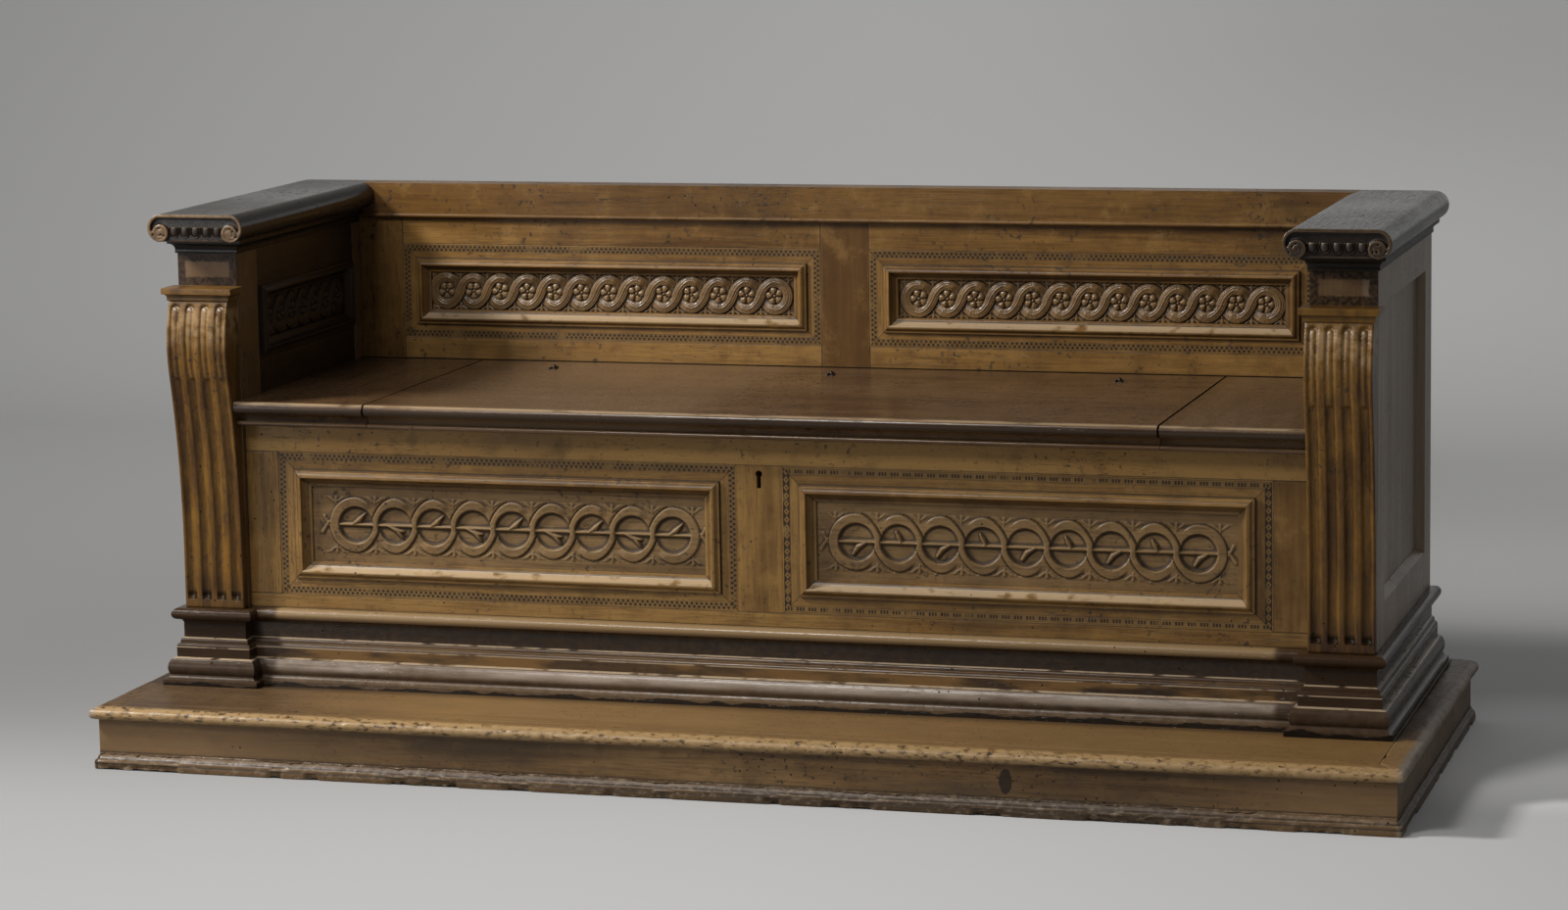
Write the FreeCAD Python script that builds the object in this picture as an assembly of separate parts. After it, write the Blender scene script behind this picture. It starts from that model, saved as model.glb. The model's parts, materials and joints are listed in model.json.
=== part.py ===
"""A walnut chest-bench of the Italian Renaissance: a panelled chest on a low platform, with a hinged
seat lid, a panelled backrest and two arms whose fronts are fluted consoles under scrolled capitals.

Millimetres. +X to the right as seen from the front, +Y to the back, +Z up.
While the pieces are drawn, y is counted from the platform's front edge and z from the floor.
"""
import FreeCAD
import Part
import math
import os
from itertools import accumulate

from FreeCAD import Vector

# Platform
PLATFORM_LENGTH = 2160.0
PLATFORM_DEPTH = 850.0
PLATFORM_HEIGHT = 104.0
TOP_BOARD = 21.0
NOSING_WIDTH = 46.0
NOSING_STEP = 3.0
SKIRT_BOARD = 24.0
SKIRT_SETBACK = 14.0
FOOT_MOULDING_DEPTH = 9.0
FOOT_FILLET_HEIGHT = 10.0
FOOT_BEAD_HEIGHT = 8.0
FOOT_COVE_HEIGHT = 12.0

# Body of the bench
BODY_LENGTH = 2000.0
BODY_BACK_MARGIN = 22.0
CONSOLE_SETBACK = 226.0
ARM_WIDTH = 106.0
SEAT_RISE = 481.0
ARM_RISE = 312.0

# Plinth mouldings, from the platform up
PLINTH_STEPS = {"foot": 10.0, "foot_flare": 7.0, "swell": 23.0, "swell_round": 5.0, "fascia": 17.0,
                "middle_round": 7.0, "fillet": 2.0, "upper_round": 6.0, "frieze": 23.0, "cove": 9.0,
                "torus": 19.0}
PLINTH_WALL = 40.0
FOOT_OUT = 32.0
SWELL_OUT = 22.0
FASCIA_OUT = 13.0
FILLET_OUT = 8.0
FRIEZE_OUT = 3.0
TORUS_SEAT_OUT = 9.5
PLINTH_BACK_BOARD = 48.0

# Arms
CONSOLE_FOOT = 19.0
CONSOLE_SWELL = 39.0
CONSOLE_STRAIGHT = 98.0
CONSOLE_APEX_DROP = 78.0
CONSOLE_CROWN_RADIUS = 200.0
FLUTE_COUNT = 4
FLUTE_RADIUS = 8.6
FLUTE_DEPTH = 6.2
FLUTE_FOOT = 16.0
FLUTE_HEAD = 4.0
REED_RADIUS = 6.0
REED_SINK = 1.2
REED_LENGTH = 124.0
REED_DROP = 2.0
NECKING_HEIGHT = 21.0
NECKING_FILLET = 10.0
NECKING_OUT = 9.4
NECKING_LIP = 1.9
NECKING_FOOT = 3.6
NECKING_FOOT_OUT = 2.4
BLOCK_HEIGHT = 54.0
FRONT_POST = 82.0
REAR_POST = 79.0
SIDE_RAIL_THICK = 40.0
SIDE_SILL_HEIGHT = 78.0
SIDE_HEAD_DROP = 90.0
SIDE_PANEL_SINK = 14.0
SIDE_PANEL_THICK = 14.0
SIDE_BEVEL = 10.0
INNER_BOARD = 20.0
CROWN_HEIGHT = 23.0
CROWN_OUT = 13.0
CROWN_FILLET = 7.0
CROWN_LIP = 2.0
CROWN_FOOT = 3.5
CROWN_FOOT_OUT = 3.2
ARM_TOP_THICK = 46.0
ARM_TOP_OUTER_OVERHANG = 29.0
ARM_TOP_INNER_OVERHANG = 34.0
ARM_TOP_FRONT_OVERHANG = 53.0
SCROLL_RIM = 5.5
SCROLL_RADIUS = 14.2
SCROLL_EYE_HEIGHT = 15.0
SCROLL_GROOVE = 2.4
SCROLL_STEP = 2.6
SCROLL_MEET = 0.6
SCROLL_HALF_TURNS = 3
SCROLL_DEPTH = 7.0

# Chest front, and the frames with a planted moulding that hold the panels
FRONT_SETBACK = 30.0
FRAME_THICK = 30.0
STILE_WIDTH = 58.0
CENTRE_STILE = 76.0
FRONT_SILL = 24.0
FRONT_HEAD = 69.0
FRONT_FLAT = 28.0
FRONT_MOULDING = 28.0
MOULDING_RISE = 10.0
MOULDING_STEP = 5.0
MOULDING_STEP_SHARE = 0.15
MOULDING_CREST_SHARE = 0.5
MOULDING_LIP_SHARE = 0.1
MOULDING_LIP_DROP = 4.0
PANEL_SINK = 12.0
PANEL_THICK = 12.0
REBATE = 11.0
CHEST_FLOOR = 18.0
CHEST_BACK = 24.0

# Seat
LID_LENGTH = 1326.0
LID_DEPTH = 488.0
LID_THICK = 20.0
SEAT_OVERHANG = 50.0
LID_GAP = 1.2
LID_REST = 0.4
SEAT_COVE_OUT = 24.0
SEAT_BEAD_OUT = 28.0
SEAT_BEAD_HEIGHT = 8.0
SEAT_MOULDING_HEIGHT = 22.0
SEAT_MOULDING_TOP_OUT = 38.0

# Backrest
BACK_FACE = 42.0
BACK_FRAME_THICK = 36.0
BACK_TOP_RAIL = 61.0
BACK_TOP_PROUD = 8.0
BACK_BEAD = 8.0
BACK_END_STILE = 82.0
BACK_CENTRE_STILE = 86.0
BACK_LOWER_RAIL = 37.0
BACK_UPPER_RAIL = 47.0
BACK_FLAT = 25.0
BACK_MOULDING = 25.0
ARM_FLAT = 8.0

# Wire hinges
HINGE_PITCH = 500.0
HINGE_COUNT = 3
WIRE_RADIUS = 1.6
WIRE_BEND = 3.2
WIRE_FIT = 0.1
HINGE_PLAY = 0.5
HINGE_RISE = 1.0
HINGE_ROOM = 1.0
STAPLE_HALF_WIDTH = 5.0
HINGE_LEG = 16.0
HINGE_POINT = 14.0

# Lock
KEYHOLE_RADIUS = 5.5
KEYHOLE_SLOT = 7.0
KEYHOLE_HEIGHT = 29.0
KEYHOLE_DROP = 8.0
KEY_SOCKET = 14.0
LOCK_WIDTH = 120.0
LOCK_HEIGHT = 115.0
LOCK_DEPTH = 22.0
LOCK_TOP_ROOM = 5.0
BOLT_LENGTH = 70.0
BOLT_HEIGHT = 8.0
BOLT_THICK = 6.0
BOLT_THROW = 18.0
BOLT_FIT = 0.1
BOLT_DROP = 6.0
CATCH_WALL = 3.0
CATCH_THICK = 4.0
CATCH_PLAY = 1.0
CATCH_PLATE = 40.0
CATCH_PLATE_DEPTH = 27.0

# How far the side of a section bows out, as a share of its length
HALF_ROUND = 0.5
BEAD = 0.4
SWELL = 0.2
SOFT_SWELL = 0.15
HOLLOW = -0.2
SOFT_HOLLOW = -0.15
SLIGHT_HOLLOW = -0.09

# Places that follow from the sizes
OVERRUN = 150.0
UP = Vector(0, 0, 1)
HALF_BODY = BODY_LENGTH / 2
HALF_INSIDE = HALF_BODY - ARM_WIDTH
BODY_BACK = PLATFORM_DEPTH - BODY_BACK_MARGIN
PLINTH_HEIGHT = sum(PLINTH_STEPS.values())
PLINTH_TOP = PLATFORM_HEIGHT + PLINTH_HEIGHT
SEAT_TOP = PLATFORM_HEIGHT + SEAT_RISE
ARM_TOP = SEAT_TOP + ARM_RISE
ARM_TOP_SEAT = ARM_TOP - ARM_TOP_THICK
POST_FRONT = CONSOLE_SETBACK + CONSOLE_FOOT
FRONT_POST_BACK = POST_FRONT + FRONT_POST
REAR_POST_FRONT = BODY_BACK - REAR_POST
CHEST_FRONT = CONSOLE_SETBACK + FRONT_SETBACK
CHEST_INSIDE_FRONT = CHEST_FRONT + FRAME_THICK
CHEST_INSIDE_BACK = BODY_BACK - CHEST_BACK
SEAT_UNDER = SEAT_TOP - LID_THICK
SEAT_FRONT = CHEST_FRONT - SEAT_OVERHANG
LID_BACK = SEAT_FRONT + LID_DEPTH
BACKREST_FACE = BODY_BACK - BACK_FACE
BACK_RAIL_BOTTOM = ARM_TOP - BACK_TOP_RAIL
BACK_FRAME_LOW = SEAT_TOP + BACK_LOWER_RAIL
BACK_FRAME_HIGH = BACK_RAIL_BOTTOM - BACK_UPPER_RAIL
ARM_FRAME_LOW = BACK_FRAME_LOW + BACK_FLAT - ARM_FLAT
ARM_FRAME_HIGH = BACK_FRAME_HIGH - BACK_FLAT + ARM_FLAT
HINGE_Y = LID_BACK + LID_GAP / 2
HINGE_Z = SEAT_TOP + HINGE_RISE
NECKING_LOW = ARM_TOP_SEAT - CROWN_HEIGHT - BLOCK_HEIGHT - NECKING_HEIGHT
CONSOLE_HEIGHT = NECKING_LOW - PLINTH_TOP
CONSOLE_APEX = CONSOLE_HEIGHT - CONSOLE_APEX_DROP


def box(x, y, z):
    """A board between two values on each axis."""
    size = [high - low for low, high in (x, y, z)]
    return Part.makeBox(*size, Vector(x[0], y[0], z[0]))


def section(start, *steps):
    """A closed face in (out, up), drawn anticlockwise. A step's third number bows that side outwards,
    by this share of its length; a negative one makes it hollow."""
    edges = []
    first = here = Vector(*start, 0)
    for x, y, *bow in [*steps, start]:
        end = Vector(x, y, 0)
        side = end - here
        if side.Length < 1e-6:
            continue
        if bow:
            middle = (here + end) * 0.5 + Vector(side.y, -side.x, 0) * bow[0]
            edges.append(Part.Arc(here, middle, end).toShape())
        else:
            edges.append(Part.LineSegment(here, end).toShape())
        here = end
    return Part.Face(Part.Wire(edges))


def stand(face, origin, out, up):
    """A section set up at a point, with the directions that its two axes take."""
    along = out.cross(up)
    turned = face.copy()
    turned.Placement = FreeCAD.Placement(FreeCAD.Matrix(
        out.x, up.x, along.x, origin.x, out.y, up.y, along.y, origin.y,
        out.z, up.z, along.z, origin.z, 0, 0, 0, 1))
    return turned


def beyond(point, direction):
    """A block that fills everything near a point on one side of it."""
    side = 4 * OVERRUN
    block = Part.makeBox(side, side, side, Vector(-side / 2, -side / 2, 0))
    block.Placement = FreeCAD.Placement(point, FreeCAD.Rotation(UP, direction))
    return block


def mitred_run(face, corners, up, closed=False):
    """Strips of one section along a path that turns, one solid each, mitred where they meet."""
    ends = corners[1:] + corners[:1] if closed else corners[1:]
    ways = [(end - start).normalize() for start, end in zip(corners, ends)]
    strips = []
    for number, (start, end, along) in enumerate(zip(corners, ends, ways)):
        before = ways[number - 1] if closed or number > 0 else None
        after = ways[(number + 1) % len(ways)] if closed or number < len(ways) - 1 else None
        lead = OVERRUN if before else 0.0
        tail = OVERRUN if after else 0.0
        length = (end - start).Length + lead + tail
        strip = stand(face, start - along * lead, up.cross(along), up).extrude(along * length)
        if before:
            strip = strip.cut(beyond(start, -(before + along)))
        if after:
            strip = strip.cut(beyond(end, along + after))
        strips.append(strip)
    return strips


def straight_run(face, start, end, up=UP):
    """One strip of a section between two points."""
    along = (end - start).normalize()
    return stand(face, start, up.cross(along), up).extrude(end - start)


def mirrored(solids):
    """The same pieces on the other side of the bench."""
    return [solid.mirror(Vector(0, 0, 0), Vector(1, 0, 0)) for solid in solids]


def bent_wire(points, radius):
    """A round wire through a few points, with its corners bent."""
    edges = []
    here = points[0]
    for corner, after in zip(points[1:-1], points[2:]):
        came = (corner - here).normalize()
        goes = (after - corner).normalize()
        turn = came.getAngle(goes)
        reach = WIRE_BEND * math.tan(turn / 2)
        inward = (goes - came).normalize()
        middle = corner + inward * (WIRE_BEND / math.cos(turn / 2) - WIRE_BEND)
        edges.append(Part.LineSegment(here, corner - came * reach).toShape())
        edges.append(Part.Arc(corner - came * reach, middle, corner + goes * reach).toShape())
        here = corner + goes * reach
    edges.append(Part.LineSegment(here, points[-1]).toShape())
    ring = Part.Wire([Part.makeCircle(radius, points[0], points[1] - points[0])])
    return Part.Wire(edges).makePipeShell([ring], True, False)


def platform():
    """Top board, mitred nosing, skirt boards and mitred foot moulding."""
    half = PLATFORM_LENGTH / 2
    under = PLATFORM_HEIGHT - TOP_BOARD
    round_high = TOP_BOARD - NOSING_STEP
    round_seat = -round_high / 2
    nosing = section((-NOSING_WIDTH, 0), (round_seat, 0), (round_seat, round_high, HALF_ROUND),
                     (round_seat - NOSING_STEP, round_high), (round_seat - NOSING_STEP, TOP_BOARD),
                     (-NOSING_WIDTH, TOP_BOARD))
    edge = [Vector(half, PLATFORM_DEPTH, under), Vector(half, 0, under), Vector(-half, 0, under),
            Vector(-half, PLATFORM_DEPTH, under)]
    bead_top = FOOT_FILLET_HEIGHT + FOOT_BEAD_HEIGHT
    bead_seat = FOOT_MOULDING_DEPTH - FOOT_BEAD_HEIGHT / 2
    foot = section((0, 0), (FOOT_MOULDING_DEPTH, 0), (FOOT_MOULDING_DEPTH, FOOT_FILLET_HEIGHT),
                   (bead_seat, FOOT_FILLET_HEIGHT), (bead_seat, bead_top, BEAD),
                   (0, bead_top + FOOT_COVE_HEIGHT, SLIGHT_HOLLOW))
    skirt = half - SKIRT_SETBACK
    line = [Vector(skirt, PLATFORM_DEPTH, 0), Vector(skirt, SKIRT_SETBACK, 0),
            Vector(-skirt, SKIRT_SETBACK, 0), Vector(-skirt, PLATFORM_DEPTH, 0)]
    inner = SKIRT_SETBACK + SKIRT_BOARD
    side_board = box((skirt - SKIRT_BOARD, skirt), (inner, PLATFORM_DEPTH), (0, under))
    inside = (SKIRT_BOARD - skirt, skirt - SKIRT_BOARD)
    return {
        "platform_top": [box((NOSING_WIDTH - half, half - NOSING_WIDTH), (NOSING_WIDTH, PLATFORM_DEPTH),
                             (under, PLATFORM_HEIGHT))],
        "platform_nosing": mitred_run(nosing, edge, UP),
        "platform_skirt": [box((-skirt, skirt), (SKIRT_SETBACK, inner), (0, under)), side_board,
                           *mirrored([side_board]),
                           box(inside, (PLATFORM_DEPTH - SKIRT_BOARD, PLATFORM_DEPTH), (0, under))],
        "platform_foot": mitred_run(foot, line, UP),
    }


def plinth_section():
    """The plinth's stack of mouldings, seen from the end."""
    heights = accumulate(PLINTH_STEPS.values())
    foot, flare, swell, swell_top, fascia, middle, fillet, upper, frieze, cove, top = heights
    return section((-PLINTH_WALL, 0), (FOOT_OUT, 0), (FOOT_OUT, foot), (SWELL_OUT, flare, HOLLOW),
                   (SWELL_OUT, swell, SOFT_SWELL), (FASCIA_OUT, swell_top, SWELL), (FASCIA_OUT, fascia),
                   (FILLET_OUT, middle, SWELL), (FILLET_OUT, fillet), (FRIEZE_OUT, upper, SWELL),
                   (FRIEZE_OUT, frieze), (TORUS_SEAT_OUT, cove, HOLLOW),
                   (TORUS_SEAT_OUT, top, HALF_ROUND), (-PLINTH_WALL, top))


def plinth():
    """The moulded base that breaks forward under each console, and its plain back board."""
    base = PLATFORM_HEIGHT
    right = [Vector(HALF_BODY, BODY_BACK, base), Vector(HALF_BODY, CONSOLE_SETBACK, base),
             Vector(HALF_INSIDE, CONSOLE_SETBACK, base), Vector(HALF_INSIDE, CHEST_FRONT, base)]
    left = [Vector(-point.x, point.y, point.z) for point in reversed(right)]
    strips = mitred_run(plinth_section(), right + left, UP)
    back_x = (PLINTH_WALL - HALF_BODY, HALF_BODY - PLINTH_WALL)
    back_y = (BODY_BACK - PLINTH_BACK_BOARD, BODY_BACK)
    return {
        "plinth_right": strips[:1],
        "pedestal_right": strips[1:3],
        "plinth_front": strips[3:4],
        "pedestal_left": strips[4:6],
        "plinth_left": strips[6:],
        "plinth_back": [box(back_x, back_y, (base, PLINTH_TOP))],
    }


def frame_section(flat, moulding):
    """A mitred frame: a flat for the inlay, then a moulding that falls to the panel."""
    inner = -flat - moulding
    step = -flat - moulding * MOULDING_STEP_SHARE
    crest = -flat - moulding * MOULDING_CREST_SHARE
    lip = inner + moulding * MOULDING_LIP_SHARE
    deep = -PANEL_SINK - PANEL_THICK
    return section((0, deep), (0, 0), (-flat, 0), (-flat, MOULDING_STEP), (step, MOULDING_STEP),
                   (crest, MOULDING_RISE, SOFT_SWELL), (lip, -MOULDING_LIP_DROP, SOFT_HOLLOW),
                   (inner, -MOULDING_LIP_DROP), (inner, -PANEL_SINK), (inner + REBATE, -PANEL_SINK),
                   (inner + REBATE, deep))


def framed_panel(low, high, across, up, flat, moulding):
    """The four mitred frame strips in a rectangle, and the panel held in their rebate."""
    span = (high - low).dot(across)
    corners = [low, low + across * span, high, high - across * span]
    if up.dot(across.cross(high - low)) > 0:
        corners.reverse()
    strips = mitred_run(frame_section(flat, moulding), corners, up, closed=True)
    inset = flat + moulding - REBATE
    tall = (high - low) - across * span
    step = Vector(tall).normalize()
    start = low + (across + step) * inset - up * (PANEL_SINK + PANEL_THICK)
    size = [across * (span - 2 * inset), step * (tall.Length - 2 * inset), up * PANEL_THICK]
    edge = Part.makeLine(start, start + size[0])
    return strips, [edge.extrude(size[1]).extrude(size[2])]


def keyhole(y, length):
    """The space of the keyhole, a round with a slot under it."""
    top = PLINTH_TOP + front_opening_height() + FRONT_SILL - KEYHOLE_DROP
    centre = top - KEYHOLE_RADIUS
    round_hole = Part.makeCylinder(KEYHOLE_RADIUS, length, Vector(0, y, centre), Vector(0, 1, 0))
    half = KEYHOLE_SLOT / 2
    return round_hole.fuse(box((-half, half), (y, y + length), (top - KEYHOLE_HEIGHT, centre)))


def front_opening_height():
    """The height between the chest front's lower and upper rails."""
    return SEAT_UNDER - FRONT_HEAD - PLINTH_TOP - FRONT_SILL


def chest():
    """Floor, back and the framed front with its two panels."""
    low = PLINTH_TOP + FRONT_SILL
    high = low + front_opening_height()
    depth = (CHEST_FRONT, CHEST_INSIDE_FRONT)
    full = (-HALF_INSIDE, HALF_INSIDE)
    inner = HALF_INSIDE - STILE_WIDTH
    half_centre = CENTRE_STILE / 2
    floor = box(full, (CHEST_INSIDE_FRONT, CHEST_INSIDE_BACK), (PLINTH_TOP, PLINTH_TOP + CHEST_FLOOR))
    centre = box((-half_centre, half_centre), depth, (low, high)).cut(keyhole(CHEST_FRONT, FRAME_THICK))
    end_stile = [box((inner, HALF_INSIDE), depth, (low, high))]
    frame, panel = framed_panel(Vector(half_centre, CHEST_FRONT, low), Vector(inner, CHEST_FRONT, high),
                                Vector(1, 0, 0), Vector(0, -1, 0), FRONT_FLAT, FRONT_MOULDING)
    return {
        "chest_floor": [floor],
        "chest_back": [box(full, (CHEST_INSIDE_BACK, BODY_BACK), (PLINTH_TOP, SEAT_UNDER))],
        "front_top_rail": [box(full, depth, (high, SEAT_UNDER))],
        "front_bottom_rail": [box(full, depth, (PLINTH_TOP, low))],
        "front_centre_stile": [centre],
        "front_right_stile": end_stile,
        "front_left_stile": mirrored(end_stile),
        "front_right_frame": frame,
        "front_left_frame": mirrored(frame),
        "front_right_panel": panel,
        "front_left_panel": mirrored(panel),
    }


def seat_board(x, back, under):
    """A seat board with a half-round front edge."""
    thick = SEAT_TOP - under
    round_seat = back - SEAT_FRONT - thick / 2
    face = section((0, 0), (round_seat, 0), (round_seat, thick, HALF_ROUND), (0, thick))
    return straight_run(face, Vector(x[1], back, under), Vector(x[0], back, under))


def seat_moulding(x, room):
    """The hollow and bead under a seat board's front edge, with room to lift off the chest front."""
    high = SEAT_MOULDING_HEIGHT + room
    face = section((room, 0), (SEAT_BEAD_OUT, 0), (SEAT_BEAD_OUT, SEAT_BEAD_HEIGHT, HALF_ROUND),
                   (SEAT_COVE_OUT, SEAT_BEAD_HEIGHT), (SEAT_MOULDING_TOP_OUT, high, HOLLOW), (room, high))
    bottom = SEAT_UNDER - SEAT_MOULDING_HEIGHT
    return straight_run(face, Vector(x[1], CHEST_FRONT, bottom), Vector(x[0], CHEST_FRONT, bottom))


def hinge_places():
    """The middle of each hinge along the lid's back edge."""
    return [HINGE_PITCH * (number - (HINGE_COUNT - 1) / 2) for number in range(HINGE_COUNT)]


def lid_staple(x, spare=0.0):
    """A wire staple whose bridge is the hinge pin and whose points are driven into the lid."""
    far = HINGE_Y - HINGE_LEG
    plan = [(-1, far, HINGE_Z - HINGE_POINT), (-1, far, HINGE_Z), (-1, HINGE_Y, HINGE_Z),
            (1, HINGE_Y, HINGE_Z), (1, far, HINGE_Z), (1, far, HINGE_Z - HINGE_POINT)]
    points = [Vector(x + side * STAPLE_HALF_WIDTH, y, z) for side, y, z in plan]
    return bent_wire(points, WIRE_RADIUS + spare)


def eye_radius():
    """The middle radius of the ring that turns round the staple's bridge."""
    return 2 * WIRE_RADIUS + HINGE_PLAY


def rail_eye(x, spare=0.0):
    """A wire ring round the staple's bridge, with its point driven into the back rail."""
    thick = WIRE_RADIUS + spare
    far = HINGE_Y + HINGE_LEG
    ring = Part.makeTorus(eye_radius(), thick, Vector(x, HINGE_Y, HINGE_Z), Vector(1, 0, 0))
    leg = bent_wire([Vector(x, HINGE_Y + eye_radius(), HINGE_Z), Vector(x, far, HINGE_Z),
                     Vector(x, far, HINGE_Z - HINGE_POINT)], thick)
    return ring.fuse(leg)


def hinge_room(x):
    """The space round a hinge that both boards leave free."""
    def drum(radius, half):
        return Part.makeCylinder(radius, 2 * half, Vector(x - half, HINGE_Y, HINGE_Z), Vector(1, 0, 0))
    ring = drum(eye_radius() + WIRE_RADIUS + HINGE_ROOM, WIRE_RADIUS + HINGE_ROOM)
    return ring.fuse(drum(WIRE_RADIUS + HINGE_ROOM / 2, STAPLE_HALF_WIDTH + WIRE_RADIUS + HINGE_ROOM))


def seat():
    """The lid, the fixed seat ends, their mouldings, the fixed rear strip and the wire hinges."""
    half = LID_LENGTH / 2
    end = (half + LID_GAP, HALF_INSIDE)
    lid = seat_board((-half, half), LID_BACK, SEAT_UNDER + LID_REST)
    strip = box((-HALF_INSIDE, HALF_INSIDE), (LID_BACK + LID_GAP, BODY_BACK), (SEAT_UNDER, SEAT_TOP))
    for x in hinge_places():
        lid = lid.cut(hinge_room(x)).cut(lid_staple(x, WIRE_FIT))
        strip = strip.cut(hinge_room(x)).cut(rail_eye(x, WIRE_FIT))
    end_board = [seat_board(end, LID_BACK + LID_GAP, SEAT_UNDER)]
    end_moulding = [seat_moulding(end, 0.0)]
    return {
        "seat_lid": [lid],
        "lid_moulding": [seat_moulding((-half, half), LID_REST)],
        "seat_right_end": end_board,
        "seat_left_end": mirrored(end_board),
        "seat_right_moulding": end_moulding,
        "seat_left_moulding": mirrored(end_moulding),
        "seat_back_strip": [strip],
        "hinge_lid_staples": [lid_staple(x) for x in hinge_places()],
        "hinge_rail_eyes": [rail_eye(x) for x in hinge_places()],
    }


def lock():
    """A box lock behind the keyhole: its case, the sliding bolt, and the catch under the lid."""
    top = SEAT_UNDER - LOCK_TOP_ROOM
    back = CHEST_INSIDE_FRONT + LOCK_DEPTH
    bolt_top = top - BOLT_DROP
    bolt_low = bolt_top - BOLT_HEIGHT
    middle = CHEST_INSIDE_FRONT + LOCK_DEPTH / 2
    bolt_y = (middle - BOLT_THICK / 2, middle + BOLT_THICK / 2)
    bolt_end = BOLT_LENGTH / 2 - BOLT_THROW
    bolt_x = (bolt_end - BOLT_LENGTH, bolt_end)
    catch_x = (bolt_end + CATCH_THICK, bolt_end + 2 * CATCH_THICK)
    catch_y = (bolt_y[0] - CATCH_PLAY - CATCH_WALL, bolt_y[1] + CATCH_PLAY + CATCH_WALL)
    catch_low = bolt_low - CATCH_PLAY - CATCH_WALL
    plate_high = SEAT_UNDER + LID_REST
    loop = box(catch_x, catch_y, (catch_low, plate_high)).cut(
        box(catch_x, (catch_y[0] + CATCH_WALL, catch_y[1] - CATCH_WALL),
            (catch_low + CATCH_WALL, plate_high - CATCH_WALL)))
    plate_mid = (catch_x[0] + catch_x[1]) / 2
    plate = box((plate_mid - CATCH_PLATE / 2, plate_mid + CATCH_PLATE / 2),
                (catch_y[0], catch_y[0] + CATCH_PLATE_DEPTH), (plate_high - CATCH_WALL, plate_high))
    channel = box((bolt_x[0] - CATCH_PLAY, bolt_x[1] + BOLT_THROW + CATCH_PLAY),
                  (bolt_y[0] - BOLT_FIT, bolt_y[1] + BOLT_FIT), (bolt_low - BOLT_FIT, bolt_top + BOLT_FIT))
    slot = box((catch_x[0] - CATCH_PLAY, catch_x[1] + CATCH_PLAY),
               (CHEST_INSIDE_FRONT, catch_y[1] + CATCH_PLAY), (catch_low - CATCH_PLAY, top))
    case = box((-LOCK_WIDTH / 2, LOCK_WIDTH / 2), (CHEST_INSIDE_FRONT, back), (top - LOCK_HEIGHT, top))
    case = case.cut(channel).cut(slot).cut(keyhole(CHEST_INSIDE_FRONT, KEY_SOCKET))
    bolt = box(bolt_x, bolt_y, (bolt_low, bolt_top))
    return {"lock_case": [case], "lock_bolt": [bolt], "lock_catch": [plate.fuse(loop).removeSplitter()]}


def console_arcs():
    """The radius of the console's long hollow, and the height where it turns into the swelling crown."""
    rise = CONSOLE_APEX - CONSOLE_STRAIGHT
    turn = 2 * math.atan(CONSOLE_SWELL / rise)
    return rise / math.sin(turn) - CONSOLE_CROWN_RADIUS, CONSOLE_APEX - CONSOLE_CROWN_RADIUS * math.sin(turn)


def on_console(height, offset=0.0):
    """A point of the console's front in (out, up), moved out by an offset: the front is a straight foot,
    a long hollow and the crown, which join smoothly."""
    hollow_radius, bend = console_arcs()
    if height <= CONSOLE_STRAIGHT:
        return Vector(CONSOLE_FOOT + offset, height, 0)
    if height <= bend:
        centre = Vector(CONSOLE_FOOT + hollow_radius, CONSOLE_STRAIGHT, 0)
        radius = -hollow_radius
    else:
        centre = Vector(CONSOLE_FOOT + CONSOLE_SWELL - CONSOLE_CROWN_RADIUS, CONSOLE_APEX, 0)
        radius = CONSOLE_CROWN_RADIUS
    tilt = math.asin((height - centre.y) / radius)
    return centre + Vector(math.cos(tilt), math.sin(tilt), 0) * (radius + offset)


def console_path(stops, offset=0.0):
    """Edges along the console's front from height to height, moved out by an offset."""
    edges = []
    for low, high in zip(stops, stops[1:]):
        start, middle, end = [on_console(height, offset) for height in (low, (low + high) / 2, high)]
        straight = high <= CONSOLE_STRAIGHT
        edges.append(Part.makeLine(start, end) if straight else Part.Arc(start, middle, end).toShape())
    return edges


def curved_rod(radius, offset, stops):
    """A round rod along the console's front, with round ends."""
    edges = console_path(stops, offset)
    first, last = edges[0], edges[-1]
    foot, head = first.valueAt(first.FirstParameter), last.valueAt(last.LastParameter)
    down, up = -first.tangentAt(first.FirstParameter), last.tangentAt(last.LastParameter)
    ring = Part.Wire([Part.makeCircle(radius, foot, down)])
    rod = Part.Wire(edges).makePipeShell([ring], True, False)
    domes = [Part.makeSphere(radius, point, way, 0, 90, 360) for point, way in ((foot, down), (head, up))]
    return rod.multiFuse(domes)


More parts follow.
